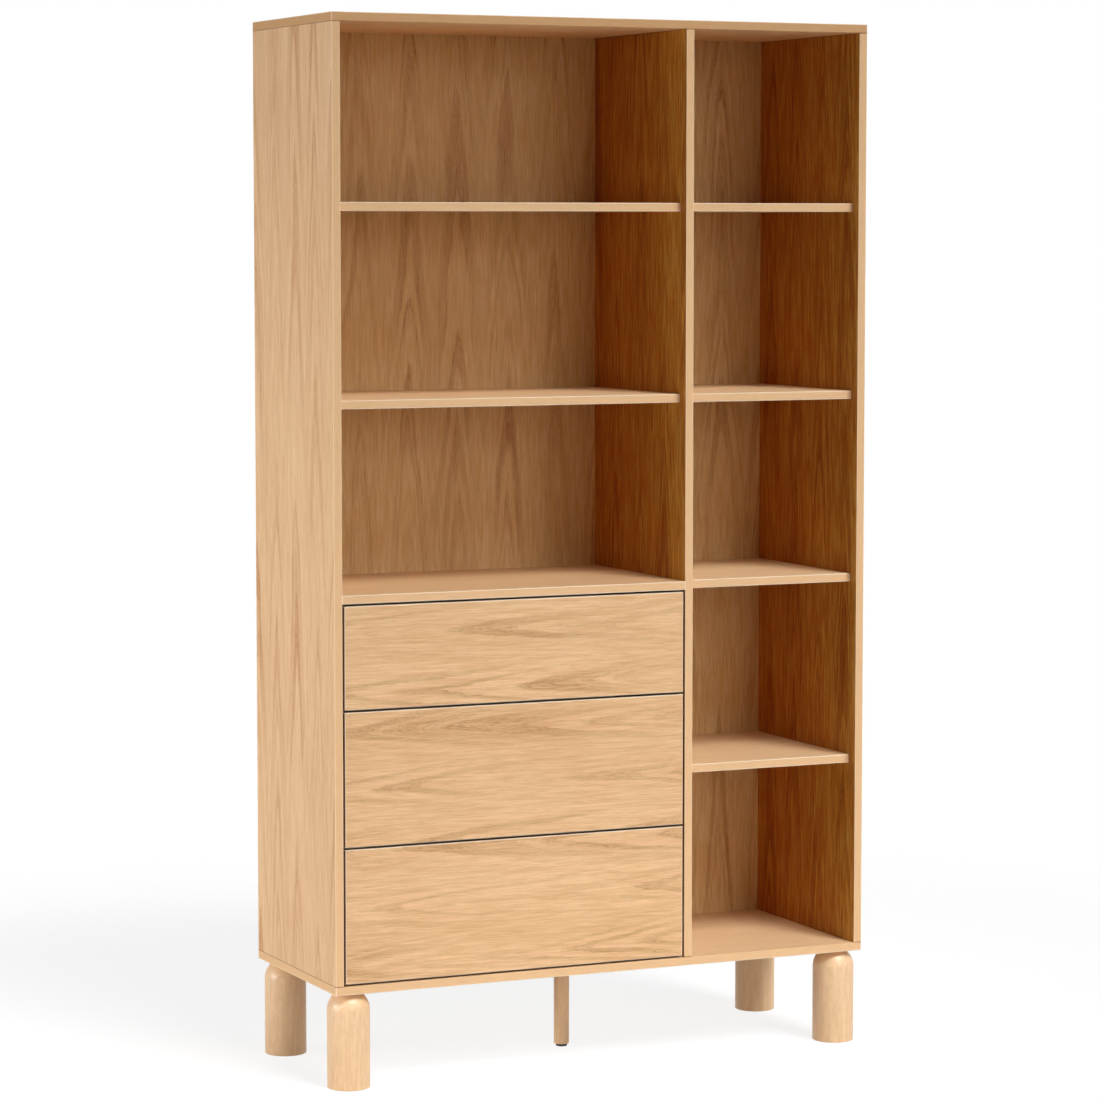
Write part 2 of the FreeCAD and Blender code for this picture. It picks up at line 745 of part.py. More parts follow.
def make_centre_leg():
    """The slim middle leg, and the glide pressed into its foot."""
    x, y = LEG_PLACES["centre_leg"]
    leg = Piece("centre_leg", (x, y, "glide_height"))
    height = "leg_height - glide_height"
    radius = "centre_leg_diameter / 2"
    leg.revolve([("0", "0"), (radius, "0"), (radius, height), ("0", height)])
    leg.dress("Chamfer", "centre_leg_easing", leg.on_plane("z", "glide_height"))
    leg.drill("z", False, [(x, y, "leg_height")], "bolt_diameter", "bolt_in_leg")
    sole = [(x, y, "glide_height")]
    leg.drill("z", True, sole, "glide_stem_diameter", "glide_stem_length + bore_relief")
    glide = Piece("centre_leg_glide", (x, y, "0"))
    radius = "glide_diameter / 2"
    glide.revolve([("0", "0"), (radius, "0"), (radius, "glide_height"), ("0", "glide_height")])
    stem = glide.sketch("z", "glide_height")
    draw_outline(stem, round_outline(("0", "0"), "glide_stem_diameter", FIRST_CORNER["z"]))
    glide.pad(stem, "glide_stem_length")


def make_leg_fixings():
    """A threaded insert in the bottom panel over each leg, and the bolt that joins them."""
    inserts = []
    bolts = []
    for x, y in LEG_PLACES.values():
        insert = doc.addObject("Part::Cut", "Insert")
        at = (x, y, "leg_height")
        insert.Base = rod(at, UPRIGHT, "insert_diameter", "insert_length")
        insert.Tool = rod(at, UPRIGHT, "bolt_diameter", "insert_length")
        inserts.append(insert)
        at = (x, y, "leg_height - bolt_in_leg")
        bolts.append(rod(at, UPRIGHT, "bolt_diameter", "bolt_in_leg + insert_length"))
    group("leg_inserts", inserts)
    group("leg_bolts", bolts)


# Drawers
def make_drawer(drawer):
    """A drawer: an inset face, housed and grooved, and a box of two sides, a back and a bottom."""
    face_z, face_height = DRAWERS[drawer]
    box_z = f"{face_z} + box_above_face_foot"
    box_height = f"{face_height} - box_above_face_foot - box_below_face_top"
    box_top = f"{box_z} + {box_height}"
    groove_low = f"{box_z} + drawer_bottom_lift"
    groove_high = f"{groove_low} + drawer_bottom_thickness + drawer_bottom_fit"
    inner_left, inner_right = "box_left_x + box_board", "box_right_x - box_board"
    back_front = "box_rear_y - box_back_inset - box_board"
    back_rear = "box_rear_y - box_back_inset"

    face = Piece(f"{drawer}_drawer_face", ("left_inner_x + drawer_gap", "front_y", face_z))
    face.block("face_width", "board_thickness", face_height)
    face.dress("Chamfer", "face_easing", face.on_plane("y", "front_y"))
    for low_x, high_x in (("box_left_x", inner_left), (inner_right, "box_right_x")):
        face.cut_box((low_x, "box_front_y", box_z), (high_x, "face_y", box_top))
    face.cut_box((inner_left, "box_front_y", groove_low), (inner_right, "face_y", groove_high))

    sides = (
        ("left", "box_left_x", inner_left, f"{inner_left} - groove_depth", inner_left),
        ("right", inner_right, inner_right, inner_right, f"{inner_right} + groove_depth"),
    )
    for hand, low_x, inner_x, groove_start, groove_end in sides:
        side = Piece(f"{drawer}_drawer_{hand}", (low_x, "box_front_y", box_z))
        side.block("box_board", "box_rear_y - box_front_y", box_height)
        side.dress("Chamfer", "box_edge_easing", both(side.on_plane("z", box_top), runs_along("y")))
        side.cut_box((groove_start, "box_front_y", groove_low), (groove_end, "box_rear_y", groove_high))
        housing = (f"{inner_x} - housing_depth", inner_x)
        if hand == "right":
            housing = (inner_x, f"{inner_x} + housing_depth")
        side.cut_box((housing[0], back_front, groove_high), (housing[1], back_rear, box_top))
        outer_x = "box_left_x" if hand == "left" else "box_right_x"
        side.drill(
            "x", hand == "left", rail_screw_points(outer_x, drawer), "screw_diameter", RAIL_PILOT_DEPTH
        )

    back_width = f"{inner_right} - ({inner_left}) + 2 * housing_depth"
    back = Piece(f"{drawer}_drawer_back", (f"{inner_left} - housing_depth", back_front, groove_high))
    back.block(back_width, "box_board", f"{box_top} - ({groove_high})")

    bottom_x = f"{inner_left} - groove_depth + drawer_bottom_fit"
    bottom = Piece(
        f"{drawer}_drawer_bottom", (bottom_x, "box_front_y + drawer_bottom_fit", groove_low)
    )
    bottom.block(
        f"{inner_right} + groove_depth - drawer_bottom_fit - ({bottom_x})",
        "box_rear_y - (box_front_y + drawer_bottom_fit)",
        "drawer_bottom_thickness",
    )


def channel(start, hand, reach, half, lip, wall):
    """Outline of a rolled channel with its lips turned in.

    start is the outer face of its web, hand is 1 or -1 for the way it opens, reach is its depth,
    half is half its height and lip is how far each free edge turns in past the wall.
    """
    def across(distance):
        return f"{start} + {hand} * ({distance})"

    lower = [
        (across("0"), f"-({half})"),
        (across(reach), f"-({half})"),
        (across(reach), f"{wall} + {lip} - ({half})"),
        (across(f"{reach} - {wall}"), f"{wall} + {lip} - ({half})"),
        (across(f"{reach} - {wall}"), f"{wall} - ({half})"),
        (across(wall), f"{wall} - ({half})"),
    ]
    upper = [(x, f"-({z})") for x, z in reversed(lower)]
    return lower + upper


def make_rail(label, face_x, drawer, outline):
    """One rail member beside a drawer, extruded from its outline."""
    rail = Piece(label, (face_x, "rail_front_y", rail_z(drawer)))
    return rail.extrude("y", outline, "rail_length")


def make_cage(face_x, hand, drawer, web_x, race_z, ball_radius):
    """A ball cage: a folded strip round the rail inside it, with a ball near each corner."""
    half = f"{race_z} + cage_wall / 2"
    inner = f"{race_z} - cage_wall / 2"

    def across(distance):
        return f"{hand} * ({web_x} + {distance})"

    lower = [
        (across("0"), f"-({half})"),
        (across("cage_reach"), f"-({half})"),
        (across("cage_reach"), f"-({inner})"),
        (across("cage_wall"), f"-({inner})"),
    ]
    outline = lower + [(x, f"-({z})") for x, z in reversed(lower)]
    strip = Piece("strip", (face_x, "cage_front_y", rail_z(drawer)))
    strip.extrude("y", outline, "cage_length")
    ball_x = f"{face_x} + " + across(f"{CAGE_BALL_REACH_SHARE} * cage_reach")
    balls = [
        ball(
            (
                ball_x,
                share_of(share, "cage_front_y", "cage_length"),
                f"{rail_z(drawer)} + {sense} * ({race_z})",
            ),
            ball_radius,
        )
        for share in CAGE_BALL_SHARES for sense in (1, -1)
    ]
    cage = doc.addObject("Part::MultiFuse", "Cage")
    cage.Shapes = [strip.body] + balls
    return cage


def make_runners(drawer):
    """Both telescopic runners of a drawer: three rail members and two ball cages on each side."""
    members = {"cabinet": [], "middle": [], "drawer": []}
    cages = {"outer": [], "inner": []}
    for face_x, hand in (("left_inner_x", 1), ("divider_x", -1)):
        drawer_face_x = f"{hand} * rail_space"
        cabinet = make_rail(
            "cabinet_rail", face_x, drawer,
            channel("0", hand, "cabinet_rail_reach", "cabinet_half", "cabinet_rail_lip", "rail_wall"),
        )
        drill_rail(cabinet, face_x, hand > 0, drawer)
        members["cabinet"].append(cabinet.body)

        middle = make_rail(
            "middle_rail", face_x, drawer,
            channel(
                f"{hand} * middle_rail_start", hand, "middle_rail_reach", "middle_half",
                "middle_rail_lip", "rail_wall",
            ),
        )
        members["middle"].append(middle.body)

        inner = make_rail(
            "drawer_rail", face_x, drawer,
            channel(
                drawer_face_x, -hand, "drawer_rail_reach", "drawer_half", "drawer_rail_lip",
                "rail_wall",
            ),
        )
        drill_rail(inner, f"{face_x} + {drawer_face_x}", hand < 0, drawer)
        members["drawer"].append(inner.body)

        cages["outer"].append(
            make_cage(face_x, hand, drawer, "outer_cage_x", "outer_race_z", "outer_ball_radius")
        )
        cages["inner"].append(
            make_cage(face_x, hand, drawer, "inner_cage_x", "inner_race_z", "inner_ball_radius")
        )
    for kind, rails in members.items():
        group(f"{drawer}_{kind}_rails", rails)
    for kind, pair in cages.items():
        group(f"{drawer}_{kind}_ball_cages", pair)


def drill_rail(rail, outer_x, forwards, drawer):
    """Drill a rail's web for its two screws, from the face that lies on the board."""
    rail.drill("x", forwards, rail_screw_points(outer_x, drawer), "screw_diameter", "rail_wall")


def make_rail_screws():
    """The screws that hold the rails: one node for the carcass, one for each drawer."""
    cabinet = []
    top = "rail_wall + rail_screw_head"
    for drawer in DRAWERS:
        moving = []
        for face_x, hand in (("left_inner_x", 1), ("divider_x", -1)):
            towards, away = (ALONG_X, ALONG_MINUS_X) if hand > 0 else (ALONG_MINUS_X, ALONG_X)
            cabinet += [
                screw(at, away, "rail_screw_length", "rail_screw_head")
                for at in rail_screw_points(f"{face_x} + {hand} * ({top})", drawer)
            ]
            moving += [
                screw(at, towards, "rail_screw_length", "rail_screw_head")
                for at in rail_screw_points(f"{face_x} + {hand} * (rail_space - ({top}))", drawer)
            ]
        group(f"{drawer}_drawer_screws", moving)
    group("cabinet_rail_screws", cabinet)


def make_push_open_units():
    """The closed push-open units behind the rails, with their free corners cut off."""
    units = []
    start = "rail_rear_y + push_travel + push_unit_gap"
    for drawer in DRAWERS:
        for face_x, hand in (("left_inner_x", 1), ("divider_x", -1)):
            low_x = face_x if hand > 0 else f"{face_x} - push_unit_thickness"
            low_z = f"{rail_z(drawer)} - push_unit_height / 2"
            unit = Piece("push_open_unit", (low_x, start, low_z))
            unit.block("push_unit_thickness", "push_unit_length", "push_unit_height")
            free_x = f"{face_x} + {hand} * push_unit_thickness"
            unit.dress(
                "Chamfer", "push_unit_corner", both(unit.on_plane("x", free_x), runs_along("y"))
            )
            units.append(unit.body)
    group("push_open_units", units)


def find_faults():
    """Failed objects, cuts that removed nothing, and empty or invalid shapes."""
    faults = []
    for thing in doc.Objects:
        if {"Invalid", "Error"} & set(thing.State):
            faults.append(f"{owner(thing)} {thing.Name} failed: {thing.getStatusString()}")
        elif thing.isDerivedFrom("PartDesign::Feature") and thing.Shape.isNull():
            faults.append(f"{owner(thing)} {thing.Name} is empty")
        elif thing.TypeId == "PartDesign::Pocket" and not removes_something(thing):
            faults.append(f"{owner(thing)} {thing.Name} cut nothing")
    for node in nodes():
        if node.Shape.isNull() or not node.Shape.isValid() or not node.Shape.Solids:
            faults.append(f"{node.Label} has no valid shape")
    return faults


def owner(thing):
    """Label of the body that an object belongs to, or its own."""
    body = thing.getParentGeoFeatureGroup()
    return body.Label if body else thing.Label


def removes_something(pocket):
    """Whether a pocket leaves less than the feature before it in its body."""
    steps = pocket.getParentGeoFeatureGroup().Group
    solids = [step for step in steps if step.isDerivedFrom("PartDesign::Feature")]
    before = solids[solids.index(pocket) - 1].Shape
    return not before.isNull() and pocket.Shape.Volume < before.Volume


def nodes():
    """The sub-parts that are written: bodies and groups that no other object uses."""
    kinds = ("PartDesign::Body", "Part::Compound")
    return [thing for thing in doc.Objects if thing.TypeId in kinds and not thing.InList]


derived_sheet = make_sheets()
make_top_and_bottom()
make_uprights()
make_deck()
make_backs()
make_shelves()
make_dowels()
make_back_screws()
make_corner_legs()
make_centre_leg()
make_leg_fixings()
for drawer_name in DRAWERS:
    make_drawer(drawer_name)
    make_runners(drawer_name)
make_rail_screws()
make_push_open_units()
doc.recompute()

found = find_faults()
if found:
    raise RuntimeError("; ".join(found))

os.makedirs("parts", exist_ok=True)
for node in nodes():
    node.Shape.exportStep(os.path.join("parts", node.Label + ".step"))
print(len(nodes()), "nodes written")
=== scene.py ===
"""Looks of an oak shelving unit with three push-open drawers, for Blender.

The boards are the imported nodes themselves, dressed in veneer whose grain follows each board. The
turned legs, the glide, the small fittings and the drawer runners are finer surfaces that stand for
their nodes. All lengths are in metres in the part's own frame: +X to the right as seen from the
front, +Y towards the back, +Z up, with the origin on the floor under the middle of the unit.
"""
import json
import logging
import math
from collections.abc import Sequence
from dataclasses import dataclass, field, replace
from enum import Enum

import bmesh
import bpy
import numpy as np
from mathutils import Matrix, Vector

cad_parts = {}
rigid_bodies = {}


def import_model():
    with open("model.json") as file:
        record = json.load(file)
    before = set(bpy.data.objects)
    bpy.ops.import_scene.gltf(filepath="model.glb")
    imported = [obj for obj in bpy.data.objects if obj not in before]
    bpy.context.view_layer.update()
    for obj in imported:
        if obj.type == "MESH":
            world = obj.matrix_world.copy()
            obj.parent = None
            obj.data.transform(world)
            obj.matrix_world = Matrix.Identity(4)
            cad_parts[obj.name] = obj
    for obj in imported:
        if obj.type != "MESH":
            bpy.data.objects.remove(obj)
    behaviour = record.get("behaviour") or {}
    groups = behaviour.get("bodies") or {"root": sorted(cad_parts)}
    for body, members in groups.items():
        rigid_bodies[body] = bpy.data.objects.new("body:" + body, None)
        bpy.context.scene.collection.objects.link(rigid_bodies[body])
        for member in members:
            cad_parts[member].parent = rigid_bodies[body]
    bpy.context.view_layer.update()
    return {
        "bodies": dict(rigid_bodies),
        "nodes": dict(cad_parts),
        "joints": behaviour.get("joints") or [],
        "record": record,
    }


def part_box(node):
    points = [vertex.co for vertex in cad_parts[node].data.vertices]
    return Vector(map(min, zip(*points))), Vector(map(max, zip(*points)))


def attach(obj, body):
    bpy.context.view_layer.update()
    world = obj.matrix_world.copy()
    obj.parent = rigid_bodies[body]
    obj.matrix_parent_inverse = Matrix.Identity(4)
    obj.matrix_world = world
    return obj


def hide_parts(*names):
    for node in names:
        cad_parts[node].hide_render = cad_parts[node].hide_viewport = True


LOG = logging.getLogger("shelving_unit")
MM = 0.001
IMAGE_SIDE = 1100
MERGE_GAP = 0.001 * MM
SHARP_ANGLE = 32.0
ORIGIN = (0.0, 0.0, 0.0)
WHITE = (1.0, 1.0, 1.0, 1.0)
FRAME: dict[str, object] = {}


class Axis(Enum):
    """An axis of the part's frame."""

    X = 0
    Y = 1
    Z = 2


class Points(Enum):
    """Which way along the grain the arches of a figure point."""

    FORWARDS = 1
    BACKWARDS = -1


class InnerShade(Enum):
    """Which face of an upright gets painted shade (a deeper, redder tone that darkens towards the
    back), told by the sign of its normal.
    """

    NEITHER = 0
    LEFT = -1


class Slot(Enum):
    """The record's material slots."""

    LEG_OAK = "leg_oak"
    BEECH = "beech"
    RAIL = "zinc_steel"
    SCREW = "screw_steel"
    CAGE = "cage_plastic"
    GLIDE = "dark_plastic"


def linear(code: int) -> tuple[float, float, float, float]:
    """Turn a display colour into a linear one.

    Args:
        code: the colour as 0xRRGGBB.

    Returns:
        Red, green, blue and alpha in linear light.
    """
    parts = np.array([code >> 16 & 255, code >> 8 & 255, code & 255]) / 255
    low, high = parts / 12.92, ((parts + 0.055) / 1.055) ** 2.4
    return (*np.where(parts <= 0.04045, low, high).tolist(), 1.0)


class Signal:
    """A socket's value in a shader, on which Python's operators add Math nodes."""

    def __init__(self, wiring: "Wiring", socket: bpy.types.NodeSocket) -> None:
        """Wrap a socket.

        Args:
            wiring: the wiring that the socket belongs to.
            socket: the output socket.
        """
        self.wiring = wiring
        self.socket = socket

    def math(self, operation: str, *others: "Signal | float") -> "Signal":
        """Feed this value and others to a Math node.

        Args:
            operation: the Math node's operation.
            others: its further inputs, in order.

        Returns:
            The node's result.
        """
        inputs = dict(enumerate((self, *others)))
        return self.wiring.node("ShaderNodeMath", {"operation": operation}, inputs)

    def reflected(self, operation: str, first: float) -> "Signal":
        """A Math node whose first input is a plain number and whose second is this value."""
        inputs = {0: first, 1: self}
        return self.wiring.node("ShaderNodeMath", {"operation": operation}, inputs)

    def __add__(self, other: "Signal | float") -> "Signal":
        """Sum."""
        return self.math("ADD", other)

    def __radd__(self, other: float) -> "Signal":
        """Sum, with the number first."""
        return self.reflected("ADD", other)

    def __sub__(self, other: "Signal | float") -> "Signal":
        """Difference."""
        return self.math("SUBTRACT", other)

    def __rsub__(self, other: float) -> "Signal":
        """Difference, with the number first."""
        return self.reflected("SUBTRACT", other)

    def __mul__(self, other: "Signal | float") -> "Signal":
        """Product."""
        return self.math("MULTIPLY", other)

    def __rmul__(self, other: float) -> "Signal":
        """Product, with the number first."""
        return self.reflected("MULTIPLY", other)

    def __truediv__(self, other: "Signal | float") -> "Signal":
        """Quotient."""
        return self.math("DIVIDE", other)

    def __abs__(self) -> "Signal":
        """Size without its sign."""
        return self.math("ABSOLUTE")

    def floor(self) -> "Signal":
        """Next whole number below."""
        return self.math("FLOOR")

    def fraction(self) -> "Signal":
        """What is left over the whole number below."""
        return self.math("FRACT")

    def root(self) -> "Signal":
        """Square root."""
        return self.math("SQRT")

    def above(self, limit: float) -> "Signal":
        """1 where the value is over a limit and 0 elsewhere."""
        return self.math("GREATER_THAN", limit)

    def step(self, low: float, high: float) -> "Signal":
        """Rise smoothly from 0 at one value to 1 at another.

        Args:
            low: where the result leaves 0.
            high: where the result reaches 1.

        Returns:
            The smooth step.
        """
        settings = {"interpolation_type": "SMOOTHSTEP"}
        inputs = {"Value": self, "From Min": low, "From Max": high}
        return self.wiring.node("ShaderNodeMapRange", settings, inputs)


class Wiring:
    """The node tree of one material or world."""

    def __init__(self, tree: bpy.types.NodeTree) -> None:
        """Empty a node tree and wire it anew.

        Args:
            tree: the node tree.
        """
        self.tree = tree
        tree.nodes.clear()

    def node(
        self,
        kind: str,
        settings: dict[str, object] | None = None,
        inputs: dict[str | int, object] | None = None,
        output: str | int = 0,
    ) -> Signal:
        """Add a node, set it up and feed its sockets.

        Args:
            kind: the node's type.
            settings: its own properties, which are set first.
            inputs: values or signals by socket name or number.
            output: the socket whose signal is returned.

        Returns:
            The chosen output.
        """
        made = self.tree.nodes.new(kind)
        for name, value in (settings or {}).items():
            setattr(made, name, value)
        for name, value in (inputs or {}).items():
            if isinstance(value, Signal):
                self.tree.links.new(value.socket, made.inputs[name])
            else:
                made.inputs[name].default_value = value
        return Signal(self, made.outputs[output]) if made.outputs else Signal(self, None)

    def vector(self, *parts: Signal | float) -> Signal:
        """Join three values to a vector."""
        return self.node("ShaderNodeCombineXYZ", None, dict(enumerate(parts)))

    def split(self, vector: Signal) -> list[Signal]:
        """Take a vector apart into its three values."""
        first = self.node("ShaderNodeSeparateXYZ", None, {0: vector})
        return [Signal(self, socket) for socket in first.socket.node.outputs]

    def place(self, centre: tuple[float, float, float]) -> list[Signal]:
        """Object coordinates counted from a centre.

        Args:
            centre: the point that the pattern is centred on.

        Returns:
            The three coordinates.
        """
        coordinates = self.node("ShaderNodeTexCoord", output="Object")
        settings = {"vector_type": "POINT"}
        inputs = {"Vector": coordinates, "Location": tuple(-part for part in centre)}
        return self.split(self.node("ShaderNodeMapping", settings, inputs))

    def noise(
        self, parts: tuple[Signal | float, ...], detail: float = 2.0, roughness: float = 0.5
    ) -> Signal:
        """Smooth noise over three stretched coordinates.

        Args:
            parts: the coordinates, already stretched by the scale of the noise.
            detail: how many finer layers are added.
            roughness: how strong these layers are.

        Returns:
            Noise about 0.5.
        """
        inputs = {"Vector": self.vector(*parts), "Scale": 1.0, "Detail": detail, "Roughness": roughness}
        return self.node("ShaderNodeTexNoise", None, inputs)

    def mix(self, factor: Signal | float, first: object, second: object) -> Signal:
        """Blend two colours.

        Args:
            factor: 0 for the first colour and 1 for the second.
            first: a colour or a signal.
            second: a colour or a signal.

        Returns:
            The blended colour.
        """
        inputs = {0: factor, 6: first, 7: second}
        return self.node("ShaderNodeMix", {"data_type": "RGBA"}, inputs, 2)

    def tint(self, factor: Signal, colour: Signal, tint: tuple) -> Signal:
        """Multiply a colour by a tint, as far as a factor says."""
        settings = {"data_type": "RGBA", "blend_type": "MULTIPLY"}
        return self.node("ShaderNodeMix", settings, {0: factor, 6: colour, 7: tint}, 2)

    def chance(self, seed: Signal) -> Signal:
        """A random value from 0 to 1 for each value of a seed."""
        return self.node("ShaderNodeTexWhiteNoise", {"noise_dimensions": "1D"}, {"W": seed})

    def pick(self, factor: Signal, first: Signal, second: Signal) -> Signal:
        """Blend two numbers: the first where the factor is 0 and the second where it is 1."""
        return self.node("ShaderNodeMix", {"data_type": "FLOAT"}, {0: factor, 2: first, 3: second})

    def surface(self, output: str, inputs: dict[str | int, object]) -> None:
        """Feed the tree's output node."""
        self.node(output, None, inputs)


@dataclass(frozen=True)
class Noise:
    """A smooth noise, and how often it changes in a metre of each of three coordinates.

    The shift is added to the last coordinate, so that two noises on one piece differ.
    """

    scales: tuple[float, float, float]
    shift: float = 0.0
    detail: float = 2.0
    roughness: float = 0.5

    @classmethod
    def even(cls, scale: float, detail: float = 2.0, roughness: float = 0.5) -> "Noise":
        """A noise that is the same all ways."""
        return cls((scale, scale, scale), 0.0, detail, roughness)

    @classmethod
    def drawn(
        cls, grain: Axis, fine: float, long: float, shift: float = 0.0, detail: float = 2.0,
        roughness: float = 0.5,
    ) -> "Noise":
        """A noise that is drawn out along one axis.

        Args:
            grain: the axis.
            fine: how often it changes in a metre across the axis.
            long: how often it changes in a metre along the axis.
            shift: what is added to the last coordinate.
            detail: how many finer layers are added.
            roughness: how strong these layers are.

        Returns:
            The noise.
        """
        scales = tuple(long if axis is grain else fine for axis in Axis)
        return cls(scales, shift, detail, roughness)

    def over(self, wiring: Wiring, parts: Sequence[Signal | float]) -> Signal:
        """Build the noise over three coordinates.

        Args:
            wiring: the material's wiring.
            parts: the coordinates.

        Returns:
            Noise about 0.5.
        """
        first, second, third = (part * scale for part, scale in zip(parts, self.scales))
        if self.shift:
            third = third + self.shift
        return wiring.noise((first, second, third), self.detail, self.roughness)


@dataclass(frozen=True)
class Finish:
    """A finish that can be put on pieces."""

    name: str

    def wire(self, wiring: Wiring) -> dict[str, object]:
        """Build what varies over the surface and give the shader's inputs.

        Args:
            wiring: the new material's wiring.

        Returns:
            Values and signals for the Principled shader's sockets.
        """
        raise NotImplementedError

    def material(self) -> bpy.types.Material:
        """Make the finish's material, or find it again.

        Returns:
            The material.
        """
        known = bpy.data.materials.get(self.name)
        if known:
            return known
        made = bpy.data.materials.new(self.name)
        made.use_nodes = True
        wiring = Wiring(made.node_tree)
        shader = wiring.node("ShaderNodeBsdfPrincipled", None, self.wire(wiring))
        wiring.surface("ShaderNodeOutputMaterial", {"Surface": shader})
        return made


@dataclass(frozen=True)
class Bump:
    """How strongly a height feeds the surface's normal."""

    strength: float
    distance: float

    def normal(self, wiring: Wiring, height: Signal) -> Signal:
        """The bumped normal over a height."""
        inputs = {"Strength": self.strength, "Distance": self.distance, "Height": height}
        return wiring.node("ShaderNodeBump", None, inputs)


@dataclass(frozen=True)
class OakTones:
    """Colours of lacquered oak."""

    light: int = 0xF6CFA0
    middle: int = 0xEBC08F
    late: int = 0xC0834E
    pore: int = 0x9C6A3C
    band: int = 0xEDC293
    # A painted highlight along the arrises, partly the lighter sanded edge.
    arris_highlight: int = 0xFFF0DA
    joint: int = 0x7A4420
    streak: int = 0xDFC8B5


OUTER_OAK = OakTones()
SIDE_OAK = OakTones(arris_highlight=0xF9DAB4)
# Top panel: its edge band is darker, painted shade on the highest front edge.
TOP_OAK = OakTones(band=0xD8A878, arris_highlight=0xF9DAB4)
LEVEL_OAK = OakTones(light=0xF2CFA2, middle=0xEBC698)
# Drawer faces: their edge band is dark brown, painted shade that darkens the gaps between the faces.
GAP_SHADED_FACE_OAK = OakTones(late=0xBF8F5F, band=0x946E4A)
# Drawer deck: its top is darker, painted shade on the deck.
SHADED_DECK_OAK = OakTones(light=0xE6C194, middle=0xDEB88A)
BACK_OAK = OakTones(
    light=0xF2D5A0, middle=0xE3C28C, late=0xB47C48, pore=0x8C5F38, streak=0xE2C490
)
LEG_OAK = OakTones(light=0xF9D4A8, middle=0xEDC191, late=0xCC9A6B, pore=0xA6744A)


@dataclass(frozen=True)
class Figure:
    """Sizes of the figure of plain-sawn oak veneer.

    Drift, slow, ripple and jag are how many ring widths the rings wander, from the longest waves to
    the finest.
    """

    leaf_width: float = 0.104
    ring_across: float = 0.0023
    ring_along: float = 0.0225
    heart: float = 0.006
    wander: float = 0.026
    slip: float = 0.173
    cluster: float = 0.21
    drift: float = 13.0
    slow: float = 9.0
    ripple: float = 4.2
    jag: float = 2.4
    contrast: float = 1.25
    streak: float = 0.64


# Noises of the veneer, over the coordinates across, along and through its grain.
FIBRE = Noise((480, 15, 40), 0, 3, 0.62)
STRAND = Noise((150, 6, 40), 5, 2, 0.6)
FINE = Noise((2300, 38, 200))
PORE = Noise((1500, 34, 300), 7, 1)
DASH = Noise((900, 17, 200), 3)
CLOUD = Noise((9, 2.1, 9), 3)

# Noises of its rings, over the coordinates across and along the grain and the veneer's shift.
RIPPLE = Noise((42, 9, 1), 0, 3, 0.6)
SLOW = Noise((13, 2.2, 1), 4, 1)
JAG = Noise((330, 24, 1), 6, 2, 0.6)
PATCH = Noise((14, 2.8, 1), 8)


@dataclass(frozen=True)
class Board:
    """Where a board lies: the middle and half the sides of its box."""

    centre: tuple[float, float, float]
    half: tuple[float, float, float]

    @classmethod
    def of(cls, node: str) -> "Board":
        """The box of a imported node."""
        low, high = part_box(node)
        return cls(tuple((low + high) / 2), tuple((high - low) / 2))


